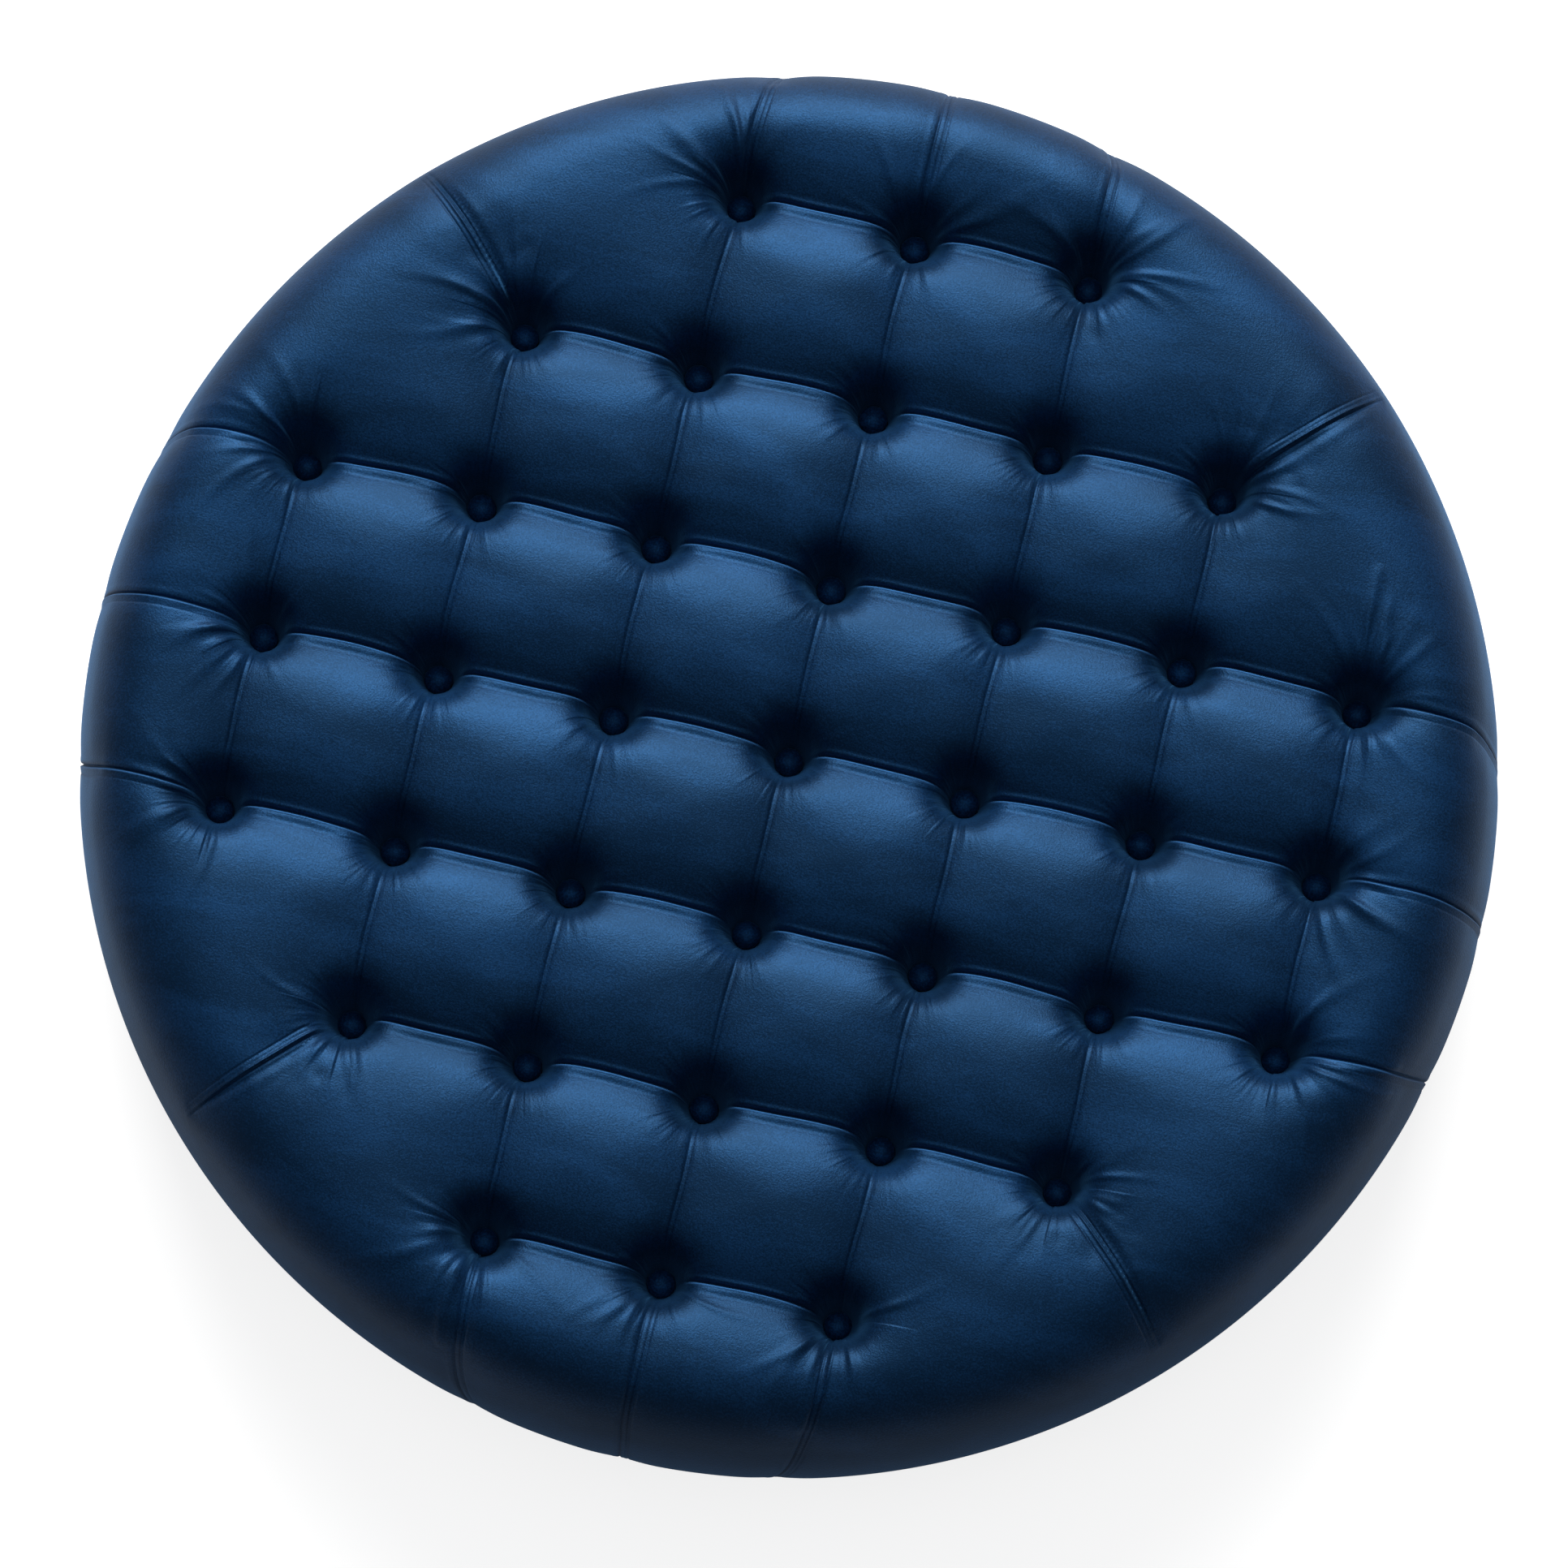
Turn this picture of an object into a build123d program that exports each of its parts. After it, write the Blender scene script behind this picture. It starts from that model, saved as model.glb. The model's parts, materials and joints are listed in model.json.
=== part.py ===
from build123d import *
import math
import os

# Round deep-buttoned seat cushion on a plywood board. Millimetres, +Z up.
# The origin is the centre of the underside. Buttons stand in rows along X.

# Overall size
cushion_diameter = 914.0
cushion_height = 180.0
widest_height = 88.0  # level at which the side bulges furthest
edge_tuck = 20.0  # how far the cover draws in from the bulge to its bottom edge
shoulder_radius = 58.0

# Cloth and padding
cover_thickness = 1.0
wadding_thickness = 10.0
slab_thickness = 100.0
slab_edge_inset = 31.0  # from the bulge to the straight side of the slab
board_edge_padding = 1.0  # wadding pressed thin at the foot of the board's edge

# Board and its fastenings
board_thickness = 18.0
board_edge_chamfer = 2.0
twine_hole_diameter = 8.0
staple_wire = 0.5
staple_width = 1.0
staple_crown = 10.0
staple_leg = 8.0
dust_cover_thickness = 0.5
dust_cover_inset = 23.0  # from the board's edge to the folded edge of the dust cover
dust_fold_width = 20.0
dust_staple_count = 60
cover_hem_width = 57.0  # cover turned under the board
cover_staple_inset = 49.0
cover_staple_count = 96

# Tufting
button_reach = 4  # cells |i| + |j| from the middle button
button_rows = 3  # rows each side of the middle one
button_rim_margin = 90.2  # from the outermost buttons to the bulge
button_sink = 56.0  # top of a button below the crown
tuft_roll_radius = 48.0  # padding rolling over into a dimple
tuft_roll_drop = 46.0  # centre of that roll below the crown
throat_play = 0.75

# Covered button
button_diameter = 18.5
button_height = 7.5
button_skirt = 2.2
button_cloth = 0.9
button_lip_hole = 11.0
button_shell_wall = 0.5
button_back_thickness = 0.6
loop_wire = 1.2
loop_radius = 3.0
loop_drop = 1.5  # straight part of the loop below the button
loop_play = 0.4
twine_diameter = 1.0
twine_play = 0.05
twine_bend = 2.0
twine_tail = 30.0
twine_staple_steps = (14.0, 24.0)  # from the twine's hole

# Threaded inserts, M8
bolt_count = 4
bolt_bore_diameter = 6.8
tee_barrel_diameter = 10.0
tee_barrel_length = 12.0
tee_flange_diameter = 22.0
tee_flange_thickness = 1.5
tee_prong_circle = 17.0
tee_prong_width = 3.0
tee_prong_thickness = 1.2
tee_prong_length = 7.0
tee_pocket_play = 0.3

# Worked-out levels
hem_z = dust_cover_thickness + staple_wire
board_z = hem_z + max(cover_thickness, twine_diameter)
board_top = board_z + board_thickness
slab_top = board_top + slab_thickness
seat_z = cushion_height - button_sink - button_height
padding_inset = cover_thickness + wadding_thickness
loop_z = seat_z - loop_drop - loop_radius
twine_z = board_z - twine_diameter / 2

# Worked-out radii
cushion_radius = cushion_diameter / 2
board_radius = cushion_radius - edge_tuck - cover_thickness - board_edge_padding
slab_radius = cushion_radius - slab_edge_inset
hem_inner_radius = board_radius - cover_hem_width
cover_staple_radius = board_radius - cover_staple_inset
dust_cover_radius = board_radius - dust_cover_inset
dust_staple_radius = dust_cover_radius - dust_fold_width / 2
throat_radius = button_diameter / 2 + throat_play
twine_offset = (loop_wire + twine_diameter) / 2 + twine_play
loop_hole_radius = loop_radius + loop_wire / 2 + loop_play

# Side and shoulder are two arcs that meet smoothly
side_rise = widest_height - hem_z
side_radius = (edge_tuck**2 + side_rise**2) / (2 * edge_tuck)
side_x = cushion_radius - side_radius
shoulder_z = cushion_height - shoulder_radius
shoulder_x = side_x + math.sqrt((side_radius - shoulder_radius) ** 2 - (shoulder_z - widest_height) ** 2)
join_angle = math.degrees(math.atan2(shoulder_z - widest_height, shoulder_x - side_x))

# Square tufting grid with its corners left out
grid_reach = math.hypot(button_rows, button_reach - button_rows)
tuft_pitch = (cushion_radius - button_rim_margin) / grid_reach
tuft_cells = [
    (i, j)
    for j in range(button_rows, -button_rows - 1, -1)
    for i in range(-button_rows, button_rows + 1)
    if abs(i) + abs(j) <= button_reach
]
tuft_spots = [(i * tuft_pitch, j * tuft_pitch) for i, j in tuft_cells]
# tails run towards the middle, away from the hem
twine_spots = [Location((x, y, 0), (0, 0, 180 if y > 0 else 0)) for x, y in tuft_spots]
bolt_radius = (button_rows - 0.5) * tuft_pitch


def draw_section(inset, floor):
    """Half outline of the cushion, the given inset inside its surface, standing on floor."""
    floor_angle = math.degrees(math.asin((floor - widest_height) / (side_radius - inset)))
    crown = cushion_height - inset
    side = CenterArc((side_x, widest_height), side_radius - inset, floor_angle, join_angle - floor_angle)
    CenterArc((shoulder_x, shoulder_z), shoulder_radius - inset, join_angle, 90 - join_angle)
    Polyline((shoulder_x, crown), (0, crown), (0, floor), side @ 0)


def draw_dimple(inset, floor):
    """Half outline of the space inside a dimple: a straight throat that rolls over at the crown."""
    crown = cushion_height - inset
    centre = (throat_radius + tuft_roll_radius, cushion_height - tuft_roll_drop)
    roll_angle = math.degrees(math.asin((crown - centre[1]) / (tuft_roll_radius - inset)))
    roll = CenterArc(centre, tuft_roll_radius - inset, 180, -roll_angle)
    mouth = roll @ 1
    above = cushion_height + tuft_roll_radius
    Polyline(roll @ 0, (throat_radius + inset, floor), (0, floor), (0, above), (mouth.X, above), mouth)


def dimple_space(inset, floor):
    """One dimple's inside, to be cut from a layer of padding."""
    with BuildPart() as dimple:
        with BuildSketch(Plane.XZ):
            with BuildLine():
                draw_dimple(inset, floor)
            make_face()
        revolve(axis=Axis.Z)
    return dimple.part


def staple(foot):
    """One staple, its crown along Y with its underside at foot and its legs up."""
    with BuildPart() as wire:
        with BuildSketch(Plane.YZ):
            with Locations((0, foot)):
                Rectangle(staple_crown, staple_leg, align=(Align.CENTER, Align.MIN))
            with Locations((0, foot + staple_wire)):
                Rectangle(
                    staple_crown - 2 * staple_wire,
                    staple_leg,
                    align=(Align.CENTER, Align.MIN),
                    mode=Mode.SUBTRACT,
                )
        extrude(amount=staple_width / 2, both=True)
    return wire.part


# Helper volumes: the board before drilling, the space in the cover, the space in the wadding

with BuildPart() as board_blank:
    with BuildSketch(Plane.XY.offset(board_z)):
        Circle(board_radius)
    extrude(amount=board_thickness)
    chamfer(board_blank.edges().filter_by(GeomType.CIRCLE).group_by(Axis.Z)[-1], board_edge_chamfer)

with BuildPart() as padding_space:
    with BuildSketch(Plane.XZ):
        with BuildLine():
            draw_section(cover_thickness, board_z)
        make_face()
    revolve(axis=Axis.Z)
    with Locations(*tuft_spots):
        add(dimple_space(cover_thickness, seat_z - cover_thickness), mode=Mode.SUBTRACT)

with BuildPart() as foam_space:
    with BuildSketch(Plane.XZ):
        with BuildLine():
            draw_section(padding_inset, board_top)
        make_face()
    revolve(axis=Axis.Z)

# Staples

with BuildPart() as cover_staples:
    with PolarLocations(cover_staple_radius, cover_staple_count):
        add(staple(hem_z - staple_wire))

with BuildPart() as dust_cover_staples:
    with PolarLocations(dust_staple_radius, dust_staple_count):
        add(staple(0))

with BuildPart() as twine_staples:
    for step in twine_staple_steps:
        # crown across the two tails of the twine
        tail_spots = [spot * Location((0, step, 0), (0, 0, 90)) for spot in twine_spots]
        with Locations(*tail_spots):
            add(staple(twine_z - twine_diameter / 2 - staple_wire))

# Threaded inserts, driven in from the top of the board

with BuildPart() as tee_nut:
    with BuildSketch(Plane.XY.offset(board_top)):
        Circle(tee_flange_diameter / 2)
    extrude(amount=tee_flange_thickness)
    with BuildSketch(Plane.XY.offset(board_top)):
        Circle(tee_barrel_diameter / 2)
    extrude(amount=-tee_barrel_length)
    with BuildSketch(Plane.XY.offset(board_top)):
        with PolarLocations(tee_prong_circle / 2, 4):
            Rectangle(tee_prong_thickness, tee_prong_width)
    extrude(amount=-tee_prong_length)
    with BuildSketch(Plane.XY.offset(board_top + tee_flange_thickness)):
        Circle(bolt_bore_diameter / 2)
    extrude(amount=-tee_flange_thickness - tee_barrel_length, mode=Mode.SUBTRACT)

with BuildPart() as tee_nuts:
    with PolarLocations(bolt_radius, bolt_count):
        add(tee_nut.part)

# Board

with BuildPart() as base_board:
    add(board_blank.part)
    with BuildSketch(Plane.XY.offset(board_z)):
        with Locations(*tuft_spots):
            Circle(twine_hole_diameter / 2)
        with PolarLocations(bolt_radius, bolt_count):
            Circle(tee_barrel_diameter / 2)
    extrude(amount=board_thickness, mode=Mode.SUBTRACT)
    add(tee_nuts.part, mode=Mode.SUBTRACT)
    add(cover_staples.part, mode=Mode.SUBTRACT)
    add(dust_cover_staples.part, mode=Mode.SUBTRACT)
    add(twine_staples.part, mode=Mode.SUBTRACT)

# Foam: a punched slab, a band that rounds its side, and a softer topper

with BuildPart() as foam_slab:
    with BuildSketch(Plane.XY.offset(board_top)):
        Circle(slab_radius)
    extrude(amount=slab_thickness)
    with Locations(*tuft_spots):
        add(dimple_space(padding_inset, board_top), mode=Mode.SUBTRACT)
    with BuildSketch(Plane.XY.offset(board_top)):
        with PolarLocations(bolt_radius, bolt_count):
            Circle(tee_flange_diameter / 2 + tee_pocket_play)
    extrude(amount=tee_flange_thickness, mode=Mode.SUBTRACT)

with BuildPart() as edge_band:
    add(foam_space.part)
    split(bisect_by=Plane.XY.offset(slab_top), keep=Keep.BOTTOM)
    with BuildSketch(Plane.XY.offset(board_top)):
        Circle(slab_radius)
    extrude(amount=slab_thickness, mode=Mode.SUBTRACT)

with BuildPart() as foam_topper:
    add(foam_space.part)
    split(bisect_by=Plane.XY.offset(slab_top), keep=Keep.TOP)
    with Locations(*tuft_spots):
        add(dimple_space(padding_inset, board_top), mode=Mode.SUBTRACT)

# Wadding between the foam and the cover, with a slit under each button for its loop

with BuildPart() as foam_plug:
    add(foam_space.part)
    with Locations(*tuft_spots):
        add(dimple_space(padding_inset, seat_z - padding_inset), mode=Mode.SUBTRACT)

with BuildPart() as wadding:
    add(padding_space.part)
    add(foam_plug.part, mode=Mode.SUBTRACT)
    add(board_blank.part, mode=Mode.SUBTRACT)
    with BuildSketch(Plane.XY.offset(seat_z - padding_inset)):
        with Locations(*tuft_spots):
            Circle(loop_hole_radius)
    extrude(amount=padding_inset, mode=Mode.SUBTRACT)

# Velvet cover, turned under the board and stapled

with BuildPart() as velvet_cover:
    with BuildSketch(Plane.XZ):
        with BuildLine():
            draw_section(0, hem_z)
        make_face()
    revolve(axis=Axis.Z)
    with Locations(*tuft_spots):
        add(dimple_space(0, seat_z), mode=Mode.SUBTRACT)
    add(padding_space.part, mode=Mode.SUBTRACT)
    with BuildSketch(Plane.XY.offset(hem_z)):
        Circle(hem_inner_radius)
    extrude(amount=board_z - hem_z, mode=Mode.SUBTRACT)
    with BuildSketch(Plane.XY.offset(seat_z - cover_thickness)):
        with Locations(*tuft_spots):
            Circle(loop_hole_radius)
    extrude(amount=cover_thickness, mode=Mode.SUBTRACT)
    add(cover_staples.part, mode=Mode.SUBTRACT)
    add(dust_cover_staples.part, mode=Mode.SUBTRACT)

# Dust cover with its edge folded in

with BuildPart() as dust_cover:
    with BuildSketch():
        Circle(dust_cover_radius)
    extrude(amount=dust_cover_thickness)
    with BuildSketch(Plane.XY.offset(dust_cover_thickness)):
        Circle(dust_cover_radius)
        Circle(dust_cover_radius - dust_fold_width, mode=Mode.SUBTRACT)
    extrude(amount=hem_z - dust_cover_thickness)
    with BuildSketch():
        with PolarLocations(bolt_radius, bolt_count):
            Circle(tee_barrel_diameter / 2)
    extrude(amount=dust_cover_thickness, mode=Mode.SUBTRACT)
    add(dust_cover_staples.part, mode=Mode.SUBTRACT)

# Covered button, standing on z = 0: velvet cap, pressed shell, back plate and wire loop


def draw_cap(inset, floor):
    """Half outline of the button's dome and skirt, inset from its surface."""
    radius = button_diameter / 2
    dome_rise = button_height - button_skirt
    dome_radius = (radius**2 + dome_rise**2) / (2 * dome_rise)
    centre_z = button_height - dome_radius
    edge_angle = math.degrees(math.acos((radius - inset) / (dome_radius - inset)))
    dome = CenterArc((0, centre_z), dome_radius - inset, edge_angle, 90 - edge_angle)
    Polyline(dome @ 1, (0, floor), (radius - inset, floor), dome @ 0)


with BuildPart() as cap_blank:
    with BuildSketch(Plane.XZ):
        with BuildLine():
            draw_cap(0, 0)
        make_face()
        with BuildLine():
            draw_cap(button_cloth, button_cloth)
        make_face(mode=Mode.SUBTRACT)
    revolve(axis=Axis.Z)
    with BuildSketch():
        Circle(button_lip_hole / 2)
    extrude(amount=button_cloth, mode=Mode.SUBTRACT)

shell_inset = button_cloth + button_shell_wall
back_top = button_cloth + button_back_thickness

with BuildPart() as shell_blank:
    with BuildSketch(Plane.XZ):
        with BuildLine():
            draw_cap(button_cloth, button_cloth)
        make_face()
        with BuildLine():
            draw_cap(shell_inset, button_cloth)
        make_face(mode=Mode.SUBTRACT)
    revolve(axis=Axis.Z)

with BuildPart() as loop_blank:
    with BuildLine() as loop_path:
        down = Line((0, -loop_radius, back_top + loop_wire), (0, -loop_radius, -loop_drop))
        under = TangentArc(down @ 1, (0, loop_radius, -loop_drop), tangent=(0, 0, -1))
        Line(under @ 1, (0, loop_radius, back_top + loop_wire))
    with BuildSketch(Plane(down @ 0, z_dir=down % 0)):
        Circle(loop_wire / 2)
    sweep(path=loop_path.line)

with BuildPart() as back_blank:
    with BuildSketch(Plane.XY.offset(button_cloth)):
        Circle(button_diameter / 2 - shell_inset)
    extrude(amount=button_back_thickness)
    add(loop_blank.part, mode=Mode.SUBTRACT)

with BuildPart() as button_shells:
    with Locations(*[(x, y, seat_z) for x, y in tuft_spots]):
        add(shell_blank.part)

with BuildPart() as button_backs:
    with Locations(*[(x, y, seat_z) for x, y in tuft_spots]):
        add(back_blank.part)

with BuildPart() as button_loops:
    with Locations(*[(x, y, seat_z) for x, y in tuft_spots]):
        add(loop_blank.part)

# Twine: up through the board and foam, through the loop and back down, both tails stapled

with BuildPart() as twine_blank:
    with BuildLine() as twine_path:
        tail_in = Line((-twine_offset, twine_tail, twine_z), (-twine_offset, twine_bend, twine_z))
        bend_in = TangentArc(
            tail_in @ 1, (-twine_offset, 0, twine_z + twine_bend), tangent=(0, -1, 0)
        )
        rise = Line(bend_in @ 1, (-twine_offset, 0, loop_z))
        turn = TangentArc(rise @ 1, (twine_offset, 0, loop_z), tangent=(0, 0, 1))
        fall = Line(turn @ 1, (twine_offset, 0, twine_z + twine_bend))
        bend_out = TangentArc(
            fall @ 1, (twine_offset, twine_bend, twine_z), tangent=(0, 0, -1)
        )
        Line(bend_out @ 1, (twine_offset, twine_tail, twine_z))
    with BuildSketch(Plane(tail_in @ 0, z_dir=tail_in % 0)):
        Circle(twine_diameter / 2)
    sweep(path=twine_path.line)

with BuildPart() as button_twines:
    with Locations(*twine_spots):
        add(twine_blank.part)

# One STEP file for each piece

os.makedirs("parts", exist_ok=True)

base_board.part.label = "base_board"
foam_slab.part.label = "foam_slab"
edge_band.part.label = "edge_band"
foam_topper.part.label = "foam_topper"
wadding.part.label = "wadding"
velvet_cover.part.label = "velvet_cover"
dust_cover.part.label = "dust_cover"
cover_staples.part.label = "cover_staples"
dust_cover_staples.part.label = "dust_cover_staples"
twine_staples.part.label = "twine_staples"
tee_nuts.part.label = "tee_nuts"
button_shells.part.label = "button_shells"
button_backs.part.label = "button_backs"
button_loops.part.label = "button_loops"
button_twines.part.label = "button_twines"

export_step(base_board.part, "parts/base_board.step")
export_step(foam_slab.part, "parts/foam_slab.step")
export_step(edge_band.part, "parts/edge_band.step")
export_step(foam_topper.part, "parts/foam_topper.step")
export_step(wadding.part, "parts/wadding.step")
export_step(velvet_cover.part, "parts/velvet_cover.step")
export_step(dust_cover.part, "parts/dust_cover.step")
export_step(cover_staples.part, "parts/cover_staples.step")
export_step(dust_cover_staples.part, "parts/dust_cover_staples.step")
export_step(twine_staples.part, "parts/twine_staples.step")
export_step(tee_nuts.part, "parts/tee_nuts.step")
export_step(button_shells.part, "parts/button_shells.step")
export_step(button_backs.part, "parts/button_backs.step")
export_step(button_loops.part, "parts/button_loops.step")
export_step(button_twines.part, "parts/button_twines.step")

# rows are numbered from +Y to -Y and buttons in a row from -X to +X
for (i, j), (x, y) in zip(tuft_cells, tuft_spots):
    row = button_rows + 1 - j
    first = min(column for column, line in tuft_cells if line == j)
    name = f"button_r{row}_c{i - first + 1}"
    with BuildPart() as button:
        with Locations((x, y, seat_z)):
            add(cap_blank.part)
    button.part.label = name
    export_step(button.part, f"parts/{name}.step")
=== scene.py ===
import json
import math
import bmesh
import bpy
import numpy as np
from mathutils import Matrix, Vector


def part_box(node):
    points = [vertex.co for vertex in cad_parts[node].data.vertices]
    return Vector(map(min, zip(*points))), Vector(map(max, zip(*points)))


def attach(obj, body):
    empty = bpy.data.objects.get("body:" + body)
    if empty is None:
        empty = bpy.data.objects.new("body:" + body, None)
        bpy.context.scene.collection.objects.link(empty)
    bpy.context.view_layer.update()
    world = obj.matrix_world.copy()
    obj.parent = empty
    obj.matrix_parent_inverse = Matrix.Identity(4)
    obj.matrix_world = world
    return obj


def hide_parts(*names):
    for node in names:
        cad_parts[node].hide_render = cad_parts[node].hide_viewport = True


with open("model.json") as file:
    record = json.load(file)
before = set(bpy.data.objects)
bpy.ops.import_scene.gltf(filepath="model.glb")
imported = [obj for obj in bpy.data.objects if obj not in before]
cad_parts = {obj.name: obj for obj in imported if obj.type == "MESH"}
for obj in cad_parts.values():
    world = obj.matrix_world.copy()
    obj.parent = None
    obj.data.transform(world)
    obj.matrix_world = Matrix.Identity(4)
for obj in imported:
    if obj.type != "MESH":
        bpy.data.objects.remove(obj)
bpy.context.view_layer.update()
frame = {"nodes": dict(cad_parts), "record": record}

print("frame loaded:", len(frame["nodes"]), "pieces")


buttonNames = sorted(name for name in frame["nodes"] if name.startswith("button_r"))
buttonBoxes = {name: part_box(name) for name in buttonNames}
buttonSpots = np.array([((low + high) / 2)[:2] for low, high in buttonBoxes.values()])
buttonFloor = min(low.z for low, high in buttonBoxes.values())
buttonTop = max(high.z for low, high in buttonBoxes.values())
coverLow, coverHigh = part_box("velvet_cover")
coverRadius = (coverHigh.x - coverLow.x) / 2
crownHeight = coverHigh.z
hemLevel = coverLow.z
gridRows = int(round(buttonSpots[:, 0].max() / np.diff(np.unique(buttonSpots[:, 0].round(4))).min()))
pitch = buttonSpots[:, 0].max() / gridRows
buttonCells = {tuple(cell) for cell in np.round(buttonSpots / pitch).astype(int).tolist()}


view = {
    "azimuth": 13.55,          # the rows of buttons run down to the right
    "elevation": 79.0,
    "distance": 7.0,
    "lens": 250.3,
    "aimRight": -0.0032,       # picture centre from the middle button
    "aimUp": -0.0149,
    "keyAngle": 35.0,          # height of the main light over the far side
    "keyTurn": 0.0,            # how far round to the left of the far side it stands
    "keyDistance": 5.0,
    "keySize": (4.0, 3.0),
    "keyPower": 428.0,
    "keyColor": (1.0, 0.98, 0.95),
    "fillHeight": 5.0,
    "fillSize": (5.0, 5.0),
    "fillPower": 34.0,
    "fillColor": (0.95, 0.97, 1.0),
    "skyColor": (0.95, 0.97, 1.0, 1.0),
    "skyStrength": 0.17,
    "floorSize": 9.0,
    "floorColor": (0.50, 0.50, 0.50, 1.0),
    "floorGlow": 0.80,
}


def viewAxes(azimuth, elevation):
    turn, lift = math.radians(azimuth), math.radians(elevation)
    back = Vector((math.sin(turn) * math.cos(lift), -math.cos(turn) * math.cos(lift), math.sin(lift)))
    right = Vector((math.cos(turn), math.sin(turn), 0.0))
    return right, back.cross(right), back


def makeAreaLight(name, place, aim, size, power, color):
    data = bpy.data.lights.new(name, "AREA")
    data.shape = "RECTANGLE"
    data.size, data.size_y = size
    data.energy = power
    data.color = color
    light = bpy.data.objects.new(name, data)
    light.location = place
    light.rotation_euler = (Vector(place) - Vector(aim)).to_track_quat("Z", "Y").to_euler()
    bpy.context.scene.collection.objects.link(light)
    return light


def makeStudio():
    scene = bpy.context.scene
    right, up, back = viewAxes(view["azimuth"], view["elevation"])
    aim = Vector((0, 0, buttonTop)) + right * view["aimRight"] + up * view["aimUp"]
    data = bpy.data.cameras.new("camera")
    data.lens = view["lens"]
    data.clip_end = 50
    camera = bpy.data.objects.new("camera", data)
    axes = Matrix((right, up, back)).transposed().to_4x4()
    camera.matrix_world = Matrix.Translation(aim + back * view["distance"]) @ axes
    scene.collection.objects.link(camera)
    scene.camera = camera

    lift = math.radians(view["keyAngle"])
    farSide = Vector((-right.y, right.x, 0))
    farSide.rotate(Matrix.Rotation(math.radians(view["keyTurn"]), 3, "Z"))
    middle = (0, 0, crownHeight * 0.6)
    keyPlace = farSide * (view["keyDistance"] * math.cos(lift)) + Vector((0, 0, view["keyDistance"] * math.sin(lift)))
    makeAreaLight("keyLight", keyPlace, middle, view["keySize"], view["keyPower"], view["keyColor"])
    overhead = (0, 0, view["fillHeight"])
    makeAreaLight("fillLight", overhead, middle, view["fillSize"], view["fillPower"], view["fillColor"])

    world = bpy.data.worlds.new("studio")
    scene.world = world
    world.use_nodes = True
    sky = world.node_tree.nodes["Background"]
    sky.inputs["Color"].default_value = view["skyColor"]
    sky.inputs["Strength"].default_value = view["skyStrength"]
    scene.view_settings.view_transform = "Standard"

    half = view["floorSize"] / 2
    floorMesh = bpy.data.meshes.new("floor")
    corners = [(-half, -half, 0), (half, -half, 0), (half, half, 0), (-half, half, 0)]
    floorMesh.from_pydata(corners, [], [(0, 1, 2, 3)])
    floor = bpy.data.objects.new("floor", floorMesh)
    scene.collection.objects.link(floor)
    floorPaint = bpy.data.materials.new("floorPaint")
    floorPaint.use_nodes = True
    shader = floorPaint.node_tree.nodes["Principled BSDF"]
    shader.inputs["Base Color"].default_value = view["floorColor"]
    shader.inputs["Roughness"].default_value = 0.9
    rays = addNode(floorPaint.node_tree, "ShaderNodeLightPath")    # the sweep glows a little, to the camera only
    glow = addNode(floorPaint.node_tree, "ShaderNodeMath", {1: view["floorGlow"]}, operation="MULTIPLY")
    floorPaint.node_tree.links.new(rays.outputs["Is Camera Ray"], glow.inputs[0])
    floorPaint.node_tree.links.new(glow.outputs[0], shader.inputs["Emission Strength"])
    shader.inputs["Emission Color"].default_value = (1.0, 1.0, 1.0, 1.0)
    floorMesh.materials.append(floorPaint)
    print("camera, lights and floor made")


def newGroup(name, inputs, outputs):
    group = bpy.data.node_groups.new(name, "ShaderNodeTree")
    for label, kind, value in inputs:
        socket = group.interface.new_socket(label, in_out="INPUT", socket_type=kind)
        if value is not None:
            socket.default_value = value
    for label, kind in outputs:
        group.interface.new_socket(label, in_out="OUTPUT", socket_type=kind)
    entry = group.nodes.new("NodeGroupInput")
    leave = group.nodes.new("NodeGroupOutput")
    return group, entry, leave


def addNode(tree, kind, values=None, **settings):
    node = tree.nodes.new(kind)
    for key, value in settings.items():
        setattr(node, key, value)      # before the values, because an operation brings its own sockets
    for key, value in (values or {}).items():
        node.inputs[key].default_value = value
    return node


# Links a socket to an input, or sets the input to a plain value.
def feed(tree, socket, value):
    if isinstance(value, bpy.types.NodeSocket):
        tree.links.new(value, socket)
    elif value is not None:
        socket.default_value = value


def mixColors(tree, factor, first, second, blend="MIX"):
    node = addNode(tree, "ShaderNodeMix", data_type="RGBA", blend_type=blend)
    for number, value in ((0, factor), (6, first), (7, second)):
        feed(tree, node.inputs[number], value)
    return node.outputs[2]


def addMath(tree, operation, first, second=None, clamp=False):
    node = addNode(tree, "ShaderNodeMath", operation=operation, use_clamp=clamp)
    for number, value in ((0, first), (1, second)):
        feed(tree, node.inputs[number], value)
    return node.outputs[0]


def addVectorMath(tree, operation, first, second=None):
    node = addNode(tree, "ShaderNodeVectorMath", operation=operation)
    feed(tree, node.inputs[0], first)
    feed(tree, node.inputs["Scale" if operation == "SCALE" else 1], second)
    return node.outputs["Value" if operation == "LENGTH" else 0]


# Carries a value from one range to another, held at both ends.
def addRange(tree, value, fromLow, fromHigh, toLow=0.0, toHigh=1.0, kind="LINEAR"):
    node = addNode(tree, "ShaderNodeMapRange", {1: fromLow, 2: fromHigh, 3: toLow, 4: toHigh}, interpolation_type=kind)
    tree.links.new(value, node.inputs[0])
    return node.outputs[0]


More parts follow.
